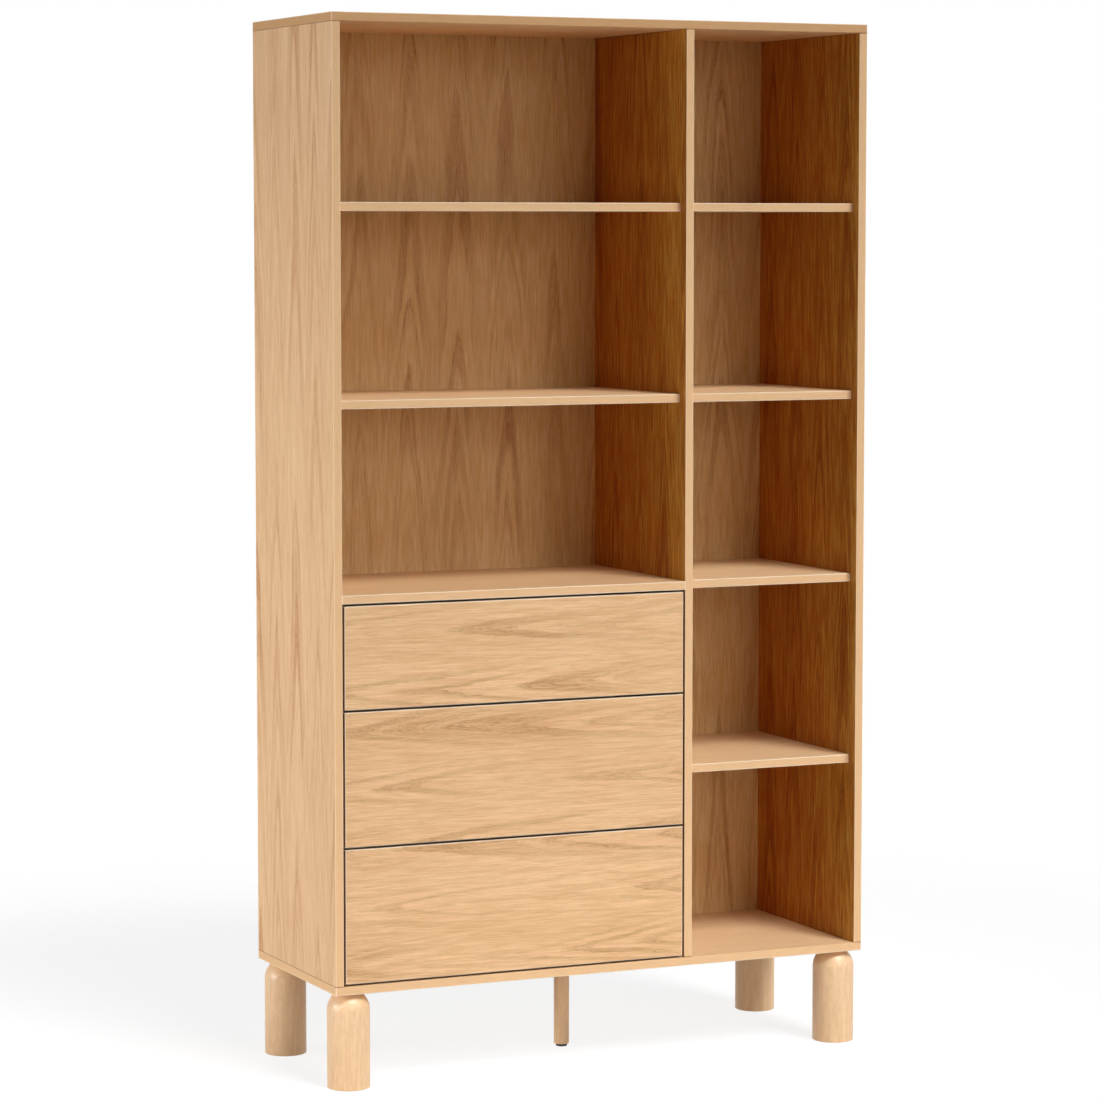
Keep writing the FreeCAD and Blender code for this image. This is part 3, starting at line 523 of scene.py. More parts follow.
@dataclass(frozen=True)
class VeneeredOak(Finish):
    """Oak veneer in leaves laid side by side, with banded edges.

    Each leaf is a slice through the rings of a tree. A ring lies where the distance from the leaf's
    heart line, rounded off near that line, plus a slow drift along the grain is a whole number of
    ring widths, so that the rings nest in pointed arches. Rings come in clusters, and each ring has
    a strength of its own.
    """

    board: Board
    grain: Axis = Axis.Z
    across: Axis = Axis.X
    through: Axis = Axis.Y
    shift: float = 0.0
    points: Points = Points.FORWARDS
    tones: OakTones = OUTER_OAK
    figure: Figure = Figure()
    inner: InnerShade = InnerShade.NEITHER
    # Painted shade on the inner faces: a redder tint, redder streaks, and a tint that darkens towards
    # the back.
    inner_shade_tint: int = 0xE3D686
    inner_shade_streak: int = 0xECC489
    inner_rear_shade: int = 0xF0D6C4
    joined_ends: bool = False
    joined_face: int = 0
    arris_start: float = 1.9 * MM
    arris_full: float = 0.6 * MM
    bump: Bump = Bump(0.12, 0.0003)
    rough: float = 0.5
    band_rough: float = 0.45

    def wire(self, wiring: Wiring) -> dict[str, object]:
        """Build leaves, rings, fibres, pores and edge bands.

        Args:
            wiring: the new material's wiring.

        Returns:
            Values and signals for the shader's sockets.
        """
        tones = self.tones
        parts = wiring.place(self.board.centre)
        along, across, through = (parts[axis.value] for axis in (self.grain, self.across, self.through))
        along = along + self.shift
        normal = wiring.split(wiring.node("ShaderNodeTexCoord", output="Normal"))
        on_end = abs(normal[self.grain.value]).above(0.5)
        on_face = abs(normal[self.through.value]).above(0.9)
        # The inner face that looks left, which gets painted shade below.
        shaded_inside = None
        if self.inner is not InnerShade.NEITHER:
            shaded_inside = (normal[self.through.value] * self.inner.value).above(0.9)
        arris_highlight, joint = self.edges(parts)

        late, leaf_tone = self.rings(wiring, along, across)
        length = wiring.pick(on_face, wiring.pick(on_end, along, across), along)
        width = wiring.pick(on_face, through, across)
        run = (width, length, through)
        fibre = FIBRE.over(wiring, run)
        strand = STRAND.over(wiring, run)
        fine = FINE.over(wiring, run)
        pore = PORE.over(wiring, run).step(0.58, 0.72)
        dash = DASH.over(wiring, run).step(0.34, 0.62)
        cloud = CLOUD.over(wiring, (across, along, through))

        colour = wiring.mix(cloud.step(0.3, 0.75) * 0.5, linear(tones.light), linear(tones.middle))
        streaks = fibre.step(0.34, 0.66) * 0.7 + strand.step(0.32, 0.68) * 0.3
        colour = wiring.tint(streaks * self.figure.streak, colour, linear(tones.streak))
        late = late * on_face * (dash * 0.6 + 0.4)
        # Painted shade: the late wood is drawn stronger on the inner faces, as in shade.
        if shaded_inside:
            late = late * (shaded_inside * 0.8 + 1)
        colour = wiring.mix(late * self.figure.contrast, colour, linear(tones.late))
        pores = pore * (0.26 - late * 0.12) + fine.step(0.5, 0.8) * 0.16
        colour = wiring.mix(pores, colour, linear(tones.pore))
        colour = wiring.mix(leaf_tone * on_face, colour, linear(tones.late))
        # Painted shade on the inner faces: a deeper, redder tone, redder streaks, and darkening towards
        # the back.
        if shaded_inside:
            depth = parts[Axis.Y.value].step(-self.board.half[1], self.board.half[1])
            colour = wiring.tint(shaded_inside, colour, linear(self.inner_shade_tint))
            colour = wiring.tint(shaded_inside * streaks.step(0.3, 0.7), colour, linear(self.inner_shade_streak))
            colour = wiring.tint(shaded_inside * depth, colour, linear(self.inner_rear_shade))
        banded = wiring.mix(fibre.step(0.3, 0.8) * 0.25, linear(tones.band), linear(tones.middle))
        banded = wiring.mix(pore * 0.18, banded, linear(tones.pore))
        colour = wiring.mix(on_face, banded, colour)
        # Painted highlight along the arrises, partly the lighter sanded edge.
        colour = wiring.mix(arris_highlight * 0.8, colour, linear(tones.arris_highlight))
        if self.joined_ends:
            colour = wiring.mix(joint * 0.7, colour, linear(tones.joint))
        height = fibre * 0.4 - pore * 0.8 - late * 0.3
        return {
            "Base Color": colour,
            "Roughness": self.rough + pore * 0.14 - late * 0.05 + (1 - on_face) * self.band_rough,
            "Normal": self.bump.normal(wiring, height),
            "Specular IOR Level": 0.25,
        }

    def edges(self, parts: list[Signal]) -> tuple[Signal, Signal]:
        """Mask the painted highlight along the arrises, partly the lighter sanded edge, and the joint
        lines round the ends.

        Near a side of the box one coordinate comes close to half that side. On the surface one
        coordinate always does, so a product of two masks shows the edges alone.

        Args:
            parts: the three coordinates about the board's centre.

        Returns:
            The mask of the painted arris highlight and the mask of the end edges.
        """
        near = [
            abs(part).step(half - self.arris_start, half - self.arris_full)
            for part, half in zip(parts, self.board.half)
        ]
        end = near[self.grain.value]
        side, face = near[self.across.value], near[self.through.value]
        if self.joined_face:
            face = face * (parts[self.through.value] * self.joined_face).math("LESS_THAN", 0.0)
        ends = end * side.math("MAXIMUM", face)
        if self.joined_ends:
            return side * face * (1 - ends), ends
        return (side * face).math("MAXIMUM", ends), ends

    def rings(self, wiring: Wiring, along: Signal, across: Signal) -> tuple[Signal, Signal]:
        """Build the nested arches of each leaf.

        Args:
            wiring: the material's wiring.
            along: the coordinate along the grain.
            across: the coordinate across the leaves.

        Returns:
            The strength of the late wood, and the darkness of each leaf as a whole.
        """
        figure = self.figure
        leaf = across / figure.leaf_width + (0.5 + self.shift * 0.37 % 1)
        index = leaf.floor()
        chance = wiring.chance(index * 7.31 + self.shift)
        run = along + index * figure.slip + chance * 0.24
        heart = wiring.noise((run * 1.9, index * 3.1, self.shift), 1) - 0.5
        offset = (leaf.fraction() - 0.5) * figure.leaf_width + heart * figure.wander
        drift = wiring.noise((run * 3.2, index * 5.3 + 9, self.shift), 1) - 0.5
        place = (across, along, self.shift)
        ripple, slow, jag = (noise.over(wiring, place) - 0.5 for noise in (RIPPLE, SLOW, JAG))
        reach = (offset * offset + figure.heart ** 2).root()
        count = reach / figure.ring_across + run * (self.points.value / figure.ring_along)
        count = count + drift * figure.drift + ripple * figure.ripple
        count = count + slow * figure.slow + jag * figure.jag
        strength = wiring.chance(count.floor() + index * 31.7)
        cluster = wiring.noise((count * figure.cluster, index * 4.7, self.shift), 1).step(0.43, 0.61)
        phase = count.fraction()
        late = phase.step(0.0, 0.12) * (1 - phase.step(0.3, 1.0))
        late = late * (strength * 0.6 + 0.4) * 0.7 + cluster * 0.45
        patch = PATCH.over(wiring, place).step(0.34, 0.66)
        near_heart = 1 - (abs(offset) / figure.leaf_width).step(0.08, 0.46)
        reach_mask = near_heart * 0.75 + 0.25
        return late * cluster * (patch * 0.6 + 0.4) * reach_mask, chance * 0.07


@dataclass(frozen=True)
class TurnedOak(Finish):
    """Solid oak with rings about a heart line outside the piece."""

    axis: tuple[float, float] = (0.0, 0.0)
    heart: tuple[float, float] = (0.055, 0.075)
    ring: float = 0.0042
    tones: OakTones = LEG_OAK
    bump: Bump = Bump(0.25, 0.0003)

    def wire(self, wiring: Wiring) -> dict[str, object]:
        """Build rings, fibres and pores that run up the leg.

        Args:
            wiring: the new material's wiring.

        Returns:
            Values and signals for the shader's sockets.
        """
        tones = self.tones
        parts = wiring.place((*self.axis, 0.0))
        x, y, z = parts
        lean = wiring.noise((x * 10, y * 10, z * 3 + self.axis[0]), 1) - 0.5
        dx = x - self.heart[0] + z * 0.05
        dy = y - self.heart[1] - z * 0.03
        radius = (dx * dx + dy * dy).root() + lean * 0.012
        ripple = Noise.drawn(Axis.Z, 90, 16, 0, 3, 0.6).over(wiring, parts) - 0.5
        phase = (radius / self.ring + ripple * 2.2).fraction()
        late = phase.step(0.1, 0.7) * (1 - phase.step(0.75, 1.0))
        fibre = Noise.drawn(Axis.Z, 420, 14, 0, 3, 0.6).over(wiring, parts)
        mottle = Noise.drawn(Axis.Z, 150, 55, 9, 2, 0.6).over(wiring, parts)
        pore = Noise.drawn(Axis.Z, 1300, 34, 5, 1).over(wiring, parts).step(0.58, 0.72)
        cloud = Noise.drawn(Axis.Z, 18, 4, 2).over(wiring, parts)
        colour = wiring.mix(cloud.step(0.3, 0.75) * 0.6, linear(tones.light), linear(tones.middle))
        streaks = fibre.step(0.3, 0.7) * 0.5 + mottle.step(0.35, 0.7) * 0.5
        colour = wiring.tint(streaks * 0.36, colour, linear(tones.streak))
        colour = wiring.mix(late * 0.15, colour, linear(tones.late))
        colour = wiring.mix(pore * 0.14, colour, linear(tones.pore))
        height = fibre * 0.4 - pore * 0.8
        return {
            "Base Color": colour,
            "Roughness": 0.36 + pore * 0.14,
            "Normal": self.bump.normal(wiring, height),
            "Specular IOR Level": 0.6,
        }


@dataclass(frozen=True)
class PlainBoard(Finish):
    """Plain board or dowel stock: fine fibres along one axis and faint clouds."""

    grain: Axis = Axis.Z
    light: int = 0xEAD3AE
    dark: int = 0xD4B587
    fleck: int = 0xB08B5C
    rough: float = 0.55

    def wire(self, wiring: Wiring) -> dict[str, object]:
        """Build fibres, flecks and clouds.

        Args:
            wiring: the new material's wiring.

        Returns:
            Values and signals for the shader's sockets.
        """
        parts = wiring.place(ORIGIN)
        fibre = Noise.drawn(self.grain, 420, 9, 0, 3, 0.6).over(wiring, parts)
        fleck = Noise.drawn(self.grain, 1428, 30.6, 0, 1).over(wiring, parts).step(0.6, 0.75)
        cloud = Noise.even(14).over(wiring, parts)
        colour = wiring.mix(fibre.step(0.3, 0.75) * 0.7, linear(self.light), linear(self.dark))
        colour = wiring.mix(cloud.step(0.35, 0.75) * 0.35, colour, linear(self.dark))
        colour = wiring.mix(fleck * 0.3, colour, linear(self.fleck))
        return {
            "Base Color": colour,
            "Roughness": self.rough + fleck * 0.1,
            "Normal": Bump(0.2, 0.0002).normal(wiring, fibre - fleck),
        }


@dataclass(frozen=True)
class BackPanel(Finish):
    """A thin back panel: veneer on the side that shows and pressed board behind."""

    face: VeneeredOak
    board: int = 0xC8A77E
    speck: int = 0x9C7A54

    def wire(self, wiring: Wiring) -> dict[str, object]:
        """Put the veneer on the front and speckled pressed board on the rear and edges.

        Args:
            wiring: the new material's wiring.

        Returns:
            Values and signals for the shader's sockets.
        """
        inputs = self.face.wire(wiring)
        normal = wiring.split(wiring.node("ShaderNodeTexCoord", output="Normal"))
        in_front = (normal[Axis.Y.value] * -1).above(0.5)
        parts = wiring.place(ORIGIN)
        felt = Noise.even(900, 3, 0.7).over(wiring, parts)
        cloud = Noise.even(25).over(wiring, parts)
        board = wiring.mix(felt.step(0.45, 0.75) * 0.6, linear(self.board), linear(self.speck))
        board = wiring.mix(cloud.step(0.4, 0.7) * 0.2, board, linear(self.speck))
        inputs["Base Color"] = wiring.mix(in_front, board, inputs["Base Color"])
        inputs["Specular IOR Level"] = 0.25
        inputs["Roughness"] = 0.72 - in_front * 0.24
        return inputs


@dataclass(frozen=True)
class Steel(Finish):
    """Zinc-plated steel, drawn along one axis."""

    grain: Axis = Axis.Y
    light: int = 0xD5D7D8
    dark: int = 0xA9ADB0
    rough: float = 0.30

    def wire(self, wiring: Wiring) -> dict[str, object]:
        """Build draw lines and faint spangles.

        Args:
            wiring: the new material's wiring.

        Returns:
            Values and signals for the shader's sockets.
        """
        parts = wiring.place(ORIGIN)
        lines = Noise.drawn(self.grain, 900, 6).over(wiring, parts)
        spangle = Noise.even(120, 1).over(wiring, parts)
        colour = wiring.mix(spangle.step(0.3, 0.75) * 0.4, linear(self.light), linear(self.dark))
        return {
            "Base Color": colour,
            "Metallic": 1.0,
            "Roughness": self.rough + lines * 0.1 + spangle * 0.04,
            "Normal": Bump(0.06, 0.00003).normal(wiring, lines),
        }


@dataclass(frozen=True)
class MouldedPlastic(Finish):
    """Moulded plastic with a fine eroded texture."""

    colour: int = 0x2A2622
    worn: int = 0x4A443E
    rough: float = 0.5

    def wire(self, wiring: Wiring) -> dict[str, object]:
        """Build the moulding's texture and slightly rubbed patches.

        Args:
            wiring: the new material's wiring.

        Returns:
            Values and signals for the shader's sockets.
        """
        parts = wiring.place(ORIGIN)
        grit = Noise.even(2600).over(wiring, parts)
        rubbed = Noise.even(60, 3, 0.6).over(wiring, parts).step(0.52, 0.74)
        colour = wiring.mix(rubbed * 0.4, linear(self.colour), linear(self.worn))
        return {
            "Base Color": colour,
            "Roughness": self.rough + rubbed * 0.15,
            "Normal": Bump(0.15, 0.00008).normal(wiring, grit),
        }


@dataclass
class Solid:
    """Corner points and faces of a piece under construction."""

    points: list[np.ndarray] = field(default_factory=list)
    faces: list[np.ndarray] = field(default_factory=list)
    rims: list[np.ndarray] = field(default_factory=list)
    total: int = 0

    def add_grid(self, grid: np.ndarray) -> "Solid":
        """Add a surface over a grid of points that runs all the way round.

        The face between rows i and i + 1 and columns j and j + 1 has those four points, and the last
        column joins the first.

        Args:
            grid: rows by columns by three coordinates.

        Returns:
            The solid itself.
        """
        rows, columns = grid.shape[:2]
        row, column = np.meshgrid(np.arange(rows - 1), np.arange(columns), indexing="ij")
        following = (column + 1) % columns
        quads = np.stack(
            [row * columns + column, row * columns + following,
             (row + 1) * columns + following, (row + 1) * columns + column], axis=-1,
        )
        self.faces.append(quads.reshape(-1, 4) + self.total)
        self.points.append(grid.reshape(-1, 3))
        self.total += rows * columns
        return self

    def add_rim(self, start: int, count: int) -> "Solid":
        """Close an end with one flat face over points that follow each other."""
        self.rims.append(np.arange(start, start + count))
        return self

    def copies(self, offsets: np.ndarray) -> "Solid":
        """Repeat the solid at several places.

        Args:
            offsets: the places, one row each.

        Returns:
            A new solid with all the copies.
        """
        base = np.concatenate(self.points)
        faces = np.concatenate(self.faces)
        count = len(offsets)
        steps = np.arange(count) * self.total
        moved = (base[None] + np.asarray(offsets)[:, None]).reshape(-1, 3)
        repeated = (faces[None] + steps[:, None, None]).reshape(-1, 4)
        rims = [rim + step for rim in self.rims for step in steps]
        return Solid([moved], [repeated], rims, self.total * count)

    def turned(self, axis: Axis, sense: float = 1.0) -> "Solid":
        """Lay an upright solid along another axis.

        Args:
            axis: the axis that its height then follows, X or Y.
            sense: 1 to point along the axis and -1 to point against it.

        Returns:
            A new solid.
        """
        x, y, z = np.concatenate(self.points).T
        if axis is Axis.X:
            points = np.stack([z * sense, y, -x * sense], axis=1)
        else:
            points = np.stack([x, z * sense, -y * sense], axis=1)
        return Solid([points], list(self.faces), list(self.rims), self.total)

    def joined(self, other: "Solid") -> "Solid":
        """Put another solid's surfaces beside this one's.

        Args:
            other: the other solid.

        Returns:
            A new solid with both.
        """
        points = self.points + other.points
        faces = self.faces + [face + self.total for face in other.faces]
        rims = self.rims + [rim + self.total for rim in other.rims]
        return Solid(points, faces, rims, self.total + other.total)

    def object(self, name: str) -> bpy.types.Object:
        """Make the mesh object, with seams and poles closed and its faces outwards.

        Args:
            name: the object's name.

        Returns:
            The new object.
        """
        points = np.concatenate(self.points)
        quads = np.concatenate(self.faces).tolist()
        mesh = bpy.data.meshes.new(name)
        mesh.from_pydata(points.tolist(), [], quads + [rim.tolist() for rim in self.rims])
        form = bmesh.new()
        form.from_mesh(mesh)
        bmesh.ops.remove_doubles(form, verts=form.verts, dist=MERGE_GAP)
        bmesh.ops.recalc_face_normals(form, faces=form.faces)
        form.to_mesh(mesh)
        form.free()
        mesh.shade_smooth()
        return placed(name, mesh)


def placed(name: str, data: bpy.types.ID) -> bpy.types.Object:
    """Put data into the scene as an object.

    Args:
        name: the object's name.
        data: its mesh, lamp or camera.

    Returns:
        The new object.
    """
    made = bpy.data.objects.new(name, data)
    bpy.context.scene.collection.objects.link(made)
    return made


def full_turn(count: int) -> np.ndarray:
    """Angles evenly spaced over a full turn."""
    return np.linspace(0, 2 * np.pi, count, endpoint=False)


def around(radius: np.ndarray, height: np.ndarray, angle: np.ndarray) -> np.ndarray:
    """Points round the upright axis: radius times cosine and sine of the angle, at the height.

    Args:
        radius: a column of radii, or one radius for each point.
        height: a column of heights, or one height for each point.
        angle: a row of angles.

    Returns:
        The grid of points.
    """
    x, y, z = np.broadcast_arrays(radius * np.cos(angle), radius * np.sin(angle), height)
    return np.stack([x, y, z], axis=-1)


def arc(centre: tuple[float, float], radius: float, start: float, end: float, count: int) -> np.ndarray:
    """Points along an arc: centre plus radius times cosine and sine of the angle.

    Args:
        centre: the arc's centre.
        radius: its radius.
        start: its first angle in degrees.
        end: its last angle in degrees.
        count: how many points it gets.

    Returns:
        One row for each point.
    """
    angle = np.radians(np.linspace(start, end, count))
    return np.stack([centre[0] + radius * np.cos(angle), centre[1] + radius * np.sin(angle)], axis=1)


def lathe(profile: np.ndarray, segments: int = 64) -> Solid:
    """Turn a profile of radius and height about the upright axis.

    A point is radius times cosine and sine of the turning angle, at the profile's height.

    Args:
        profile: rows of radius and height, from the axis back to the axis.
        segments: how many points go round.

    Returns:
        The turned solid.
    """
    return Solid().add_grid(around(profile[:, :1], profile[:, 1:], full_turn(segments)))


def rounded_outline(corners: np.ndarray, radius: float, steps: int = 5) -> np.ndarray:
    """Round the corners of a closed outline.

    Each corner gives way to a curve between the points at the radius along its two sides: the sum of
    (1 - t) squared, 2 t (1 - t) and t squared times first point, corner and last point.

    Args:
        corners: one row for each corner.
        radius: how far each curve reaches along the sides.
        steps: how many points each curve gets.

    Returns:
        The outline's points.
    """
    before = np.roll(corners, 1, axis=0) - corners
    after = np.roll(corners, -1, axis=0) - corners
    spans = [np.linalg.norm(side, axis=1, keepdims=True) for side in (before, after)]
    reach = np.minimum(radius, np.minimum(*spans) * 0.45)
    first = corners + before / spans[0] * reach
    last = corners + after / spans[1] * reach
    t = np.linspace(0, 1, steps)[None, :, None]
    curve = (1 - t) ** 2 * first[:, None] + 2 * t * (1 - t) * corners[:, None] + t ** 2 * last[:, None]
    return curve.reshape(-1, 2)


def sweep(outline: np.ndarray, start: float, end: float) -> Solid:
    """Carry an outline in X and Z straight along Y and close both ends.

    Args:
        outline: rows of X and Z.
        start: where it starts along Y.
        end: where it ends along Y.

    Returns:
        The swept solid.
    """
    count = len(outline)
    rows = [np.stack([outline[:, 0], np.full(count, y), outline[:, 1]], axis=1) for y in (start, end)]
    return Solid().add_grid(np.stack(rows)).add_rim(0, count).add_rim(count, count)


class Assembly:
    """What the sub-assemblies have in common."""

    def dress(self, node: str, finish: Finish) -> None:
        """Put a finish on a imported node.

        Args:
            node: the node's name.
            finish: the finish.
        """
        mesh = FRAME["nodes"][node].data
        mesh.materials.clear()
        mesh.materials.append(finish.material())
        LOG.info("%s: %s", node, finish.name)

    def add(self, solid: Solid, name: str, finish: Finish, slot: Slot, body: str, *nodes: str) -> None:
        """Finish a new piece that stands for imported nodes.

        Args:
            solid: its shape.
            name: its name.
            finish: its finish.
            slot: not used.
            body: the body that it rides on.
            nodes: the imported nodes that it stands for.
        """
        made = solid.object(name)
        made.data.set_sharp_from_angle(angle=math.radians(SHARP_ANGLE))
        made.data.materials.append(finish.material())
        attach(made, body)
        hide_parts(*nodes)
        LOG.info("%s: %s, %d faces", name, finish.name, len(made.data.polygons))


@dataclass
class Carcass(Assembly):
    """The boards of the case: top, bottom, sides, divider, deck and backs."""

    def build(self) -> None:
        """Dress every board with its own run of veneer."""
        # The inner faces that look left, on the right side and the divider, get painted shade; the left
        # side gets none.
        uprights = {
            "left_side": (0.31, InnerShade.NEITHER), "right_side": (1.47, InnerShade.LEFT),
            "divider": (2.83, InnerShade.LEFT),
        }
        for node, (shift, inner) in uprights.items():
            finish = VeneeredOak(
                f"oak_{node}", Board.of(node), Axis.Z, Axis.Y, Axis.X, shift, tones=SIDE_OAK,
                inner=inner, joined_ends=True,
            )
            self.dress(node, finish)
        self.dress("top_panel", replace(level_board("top_panel", 4.9, TOP_OAK), joined_face=-1))
        self.dress("bottom_panel", replace(level_board("bottom_panel", 6.2), joined_face=1))
        self.dress("drawer_deck", level_board("drawer_deck", 7.7, SHADED_DECK_OAK))
        for node, shift in {"left_back": 9.4, "right_back": 11.2}.items():
            board = Board.of(node)
            face = VeneeredOak(
                f"face_{node}", board, Axis.Z, Axis.X, Axis.Y, shift, tones=BACK_OAK,
                figure=Figure(streak=0.75),
            )
            self.dress(node, BackPanel(f"oak_{node}", face))


def level_board(node: str, shift: float, tones: OakTones = LEVEL_OAK) -> VeneeredOak:
    """The quiet finish of a board that lies level.

    Args:
        node: the board's node.
        shift: where along the veneer its leaves are cut.
        tones: its colours.

    Returns:
        The finish.
    """
    return VeneeredOak(
        f"oak_{node}", Board.of(node), Axis.X, Axis.Y, Axis.Z, shift, Points.BACKWARDS, tones,
        Figure(contrast=0.25, streak=0.2),
    )


@dataclass
class Shelves(Assembly):
    """The loose shelves and the pins under them."""

    pin_radius: float = 2.5 * MM
    pin_length: float = 15.0 * MM
    pin_rounding: float = 0.6 * MM

    def build(self) -> None:
        """Dress the shelves and turn the pins."""
        names = [f"left_{level}_shelf" for level in ("middle", "high")]
        names += [f"right_shelf_{place}" for place in range(1, 5)]
        for place, node in enumerate(names):
            self.dress(node, level_board(node, 13.1 + 1.7 * place))
        pins = self.pin().turned(Axis.X).copies(islands("shelf_pins"))
        finish = Steel("pin_steel", Axis.X)
        self.add(pins, "round_shelf_pins", finish, Slot.SCREW, "carcass", "shelf_pins")

    def pin(self) -> Solid:
        """Turn one upright pin about the origin, with its ends rounded off.

        Returns:
            The pin.
        """
        half, radius, ease = self.pin_length / 2, self.pin_radius, self.pin_rounding
        profile = np.concatenate([
            [[0, -half]], arc((radius - ease, ease - half), ease, -90, 0, 5),
            arc((radius - ease, half - ease), ease, 0, 90, 5), [[0, half]],
        ])
        return lathe(profile, 32)


def corners_of(node: str) -> np.ndarray:
    """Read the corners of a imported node's mesh.

    Args:
        node: the node's name.

    Returns:
        One row of coordinates for each corner.
    """
    mesh = FRAME["nodes"][node].data
    places = np.zeros(len(mesh.vertices) * 3)
    mesh.vertices.foreach_get("co", places)
    return places.reshape(-1, 3)


def islands(node: str) -> np.ndarray:
    """Find the middles of a node's separate solids.

    Corners at one place share a number. Each triangle hands the lowest number among its corners to
    all of them, until nothing changes, and then every solid has a number of its own.

    Args:
        node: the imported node's name.

    Returns:
        One row of coordinates for each solid, in order of x, y and z.
    """
    places = corners_of(node)
    mesh = FRAME["nodes"][node].data
    corners = np.zeros(len(mesh.loops), dtype=np.int32)
    mesh.loops.foreach_get("vertex_index", corners)
    shared = np.unique(np.round(places / MERGE_GAP), axis=0, return_inverse=True)[1].reshape(-1)
    triangles = shared[corners].reshape(-1, 3)
    number = np.arange(shared.max() + 1)
    changed = True
    while changed:
        lower = number.copy()
        np.minimum.at(lower, triangles, number[triangles].min(axis=1, keepdims=True))
        changed = not np.array_equal(lower, number)
        number = lower
    solid = number[shared]
    groups = [places[solid == value] for value in np.unique(solid)]
    middles = np.array([(group.min(0) + group.max(0)) / 2 for group in groups])
    return middles[np.lexsort(middles.T[::-1])]


@dataclass
class Joinery(Assembly):
    """Dowels, back screws, leg inserts and bolts."""

    dowel_radius: float = 4.0 * MM
    dowel_length: float = 32.0 * MM
    dowel_taper: float = 1.5 * MM
    flutes: int = 12
    flute_depth: float = 0.25 * MM
    bolt_radius: float = 4.0 * MM
    bolt_length: float = 48.0 * MM
    bolt_pitch: float = 1.25 * MM
    bolt_depth: float = 0.5 * MM
    insert_radius: float = 6.0 * MM
    insert_length: float = 13.0 * MM
    insert_pitch: float = 3.0 * MM
    insert_depth: float = 0.9 * MM
    thread_points: int = 32
    rows_a_turn: int = 8
    screw_length: float = 20.0 * MM
    head_height: float = 1.0 * MM

    def build(self) -> None:
        """Make the fittings of the carcass."""
        self.add_dowels()
        screw = FlatScrew(self.screw_length, self.head_height).solid().turned(Axis.Y)
        bolt = self.thread(self.bolt_radius, self.bolt_length, self.bolt_pitch, self.bolt_depth)
        insert = self.thread(
            self.insert_radius, self.insert_length, self.insert_pitch, self.insert_depth,
            self.bolt_radius,
        )
        steel = Steel("bolt_steel", Axis.Z)
        fittings = {
            "back_screws": (screw, "back_panel_screws", Steel("back_screw_steel", Axis.Z, rough=0.36)),
            "leg_bolts": (bolt, "threaded_leg_bolts", steel),
            "leg_inserts": (insert, "threaded_leg_inserts", steel),
        }
        for node, (solid, name, finish) in fittings.items():
            self.add(solid.copies(islands(node)), name, finish, Slot.SCREW, "carcass", node)

    def add_dowels(self) -> None:
        """Make the fluted dowels, upright ones and level ones."""
        places = islands("carcass_dowels")
        low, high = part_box("drawer_deck")
        level = (places[:, 2] > low.z) & (places[:, 2] < high.z)
        dowel = self.dowel()
        both = dowel.copies(places[~level]).joined(dowel.turned(Axis.X).copies(places[level]))
        finish = PlainBoard("beech_dowel", Axis.Z)
        self.add(both, "fluted_dowels", finish, Slot.BEECH, "carcass", "carcass_dowels")

    def dowel(self) -> Solid:
        """Make one dowel about the origin: a rod whose radius dips in flutes and tapers at its ends.

        The radius is the full one less the flute depth times the square of the cosine of half the
        flutes' count times the angle, and falls off over the taper at each end.

        Returns:
            The dowel.
        """
        half = self.dowel_length / 2
        full = half - self.dowel_taper
        height = np.array([-half, -half, -full, 0, full, half, half])[:, None]
        scale = np.array([0, 0.8, 1, 1, 1, 0.8, 0])[:, None]
        angle = full_turn(6 * self.flutes)
        flute = self.flute_depth * np.cos(angle * self.flutes / 2) ** 2
        return Solid().add_grid(around(scale * (self.dowel_radius - flute), height, angle))

    def thread(
        self, radius: float, length: float, pitch: float, depth: float, bore: float = 0.0
    ) -> Solid:
        """Make a threaded rod, or sleeve, about the origin.

        The radius dips by the depth times a triangle wave of height over pitch less the turning
        angle over a full turn, so that the crest climbs one pitch a turn.

        Args:
            radius: radius over the crests.
            length: length of the rod.
            pitch: climb of the thread for each turn.
            depth: depth of the thread.
            bore: radius of the hole through a sleeve, or zero for a rod.

        Returns:
            The solid.
        """
        angle = full_turn(self.thread_points)
        rows = int(length / pitch * self.rows_a_turn)
        height = np.linspace(-length / 2, length / 2, rows)[:, None]
        wave = np.abs((height / pitch - angle / (2 * np.pi)) % 1 - 0.5) * 2
        inner = np.full((1, self.thread_points), bore)
        radii = [inner, radius - depth * wave, inner]
        heights = [height[:1], height, height[-1:]]
        if bore:
            radii.append(inner)
            heights.append(height[:1])
        return Solid().add_grid(around(np.concatenate(radii), np.concatenate(heights), angle))


@dataclass(frozen=True)
class FlatScrew:
    """A flat-headed screw with a cross, upright about its middle with its head at the top."""

    length: float
    head_height: float
    head_radius: float = 3.3 * MM
    shank_radius: float = 1.7 * MM
    tip_radius: float = 0.3 * MM
    taper_length: float = 3.5 * MM
    point_length: float = 4.5 * MM
    rim: float = 0.25 * MM
    crown: float = 0.12 * MM
    cross_width: float = 0.45 * MM

    def solid(self) -> Solid:
        """Turn the screw and press the cross into its head.

        The head's top is a shallow dome less a cross: its depth falls off with the smaller of the
        two distances from the cross's arms.

        Returns:
            The screw.
        """
        head, shank = self.head_radius, self.shank_radius
        top, tip = self.length / 2, -self.length / 2
        seat = top - self.head_height
        angle = full_turn(48)
        under = np.array([
            [0, tip], [self.tip_radius, tip], [shank * 0.9, tip + self.taper_length],
            [shank, tip + self.point_length], [shank, seat], [head, seat], [head, top - self.rim],
        ])
        share = np.linspace(1, 0, 12)[:, None]
        radius = share * head * 0.94
        arm = np.minimum(np.abs(radius * np.cos(angle)), np.abs(radius * np.sin(angle)))
        cross = np.clip(1 - arm / self.cross_width, 0, 1) * np.clip(1.6 - share * 2.1, 0, 1)
        dome = top - self.crown * share ** 2 - self.head_height * 0.7 * cross
        rows = [around(under[:, :1], under[:, 1:], angle), around(radius, dome, angle)]
        return Solid().add_grid(np.concatenate(rows))


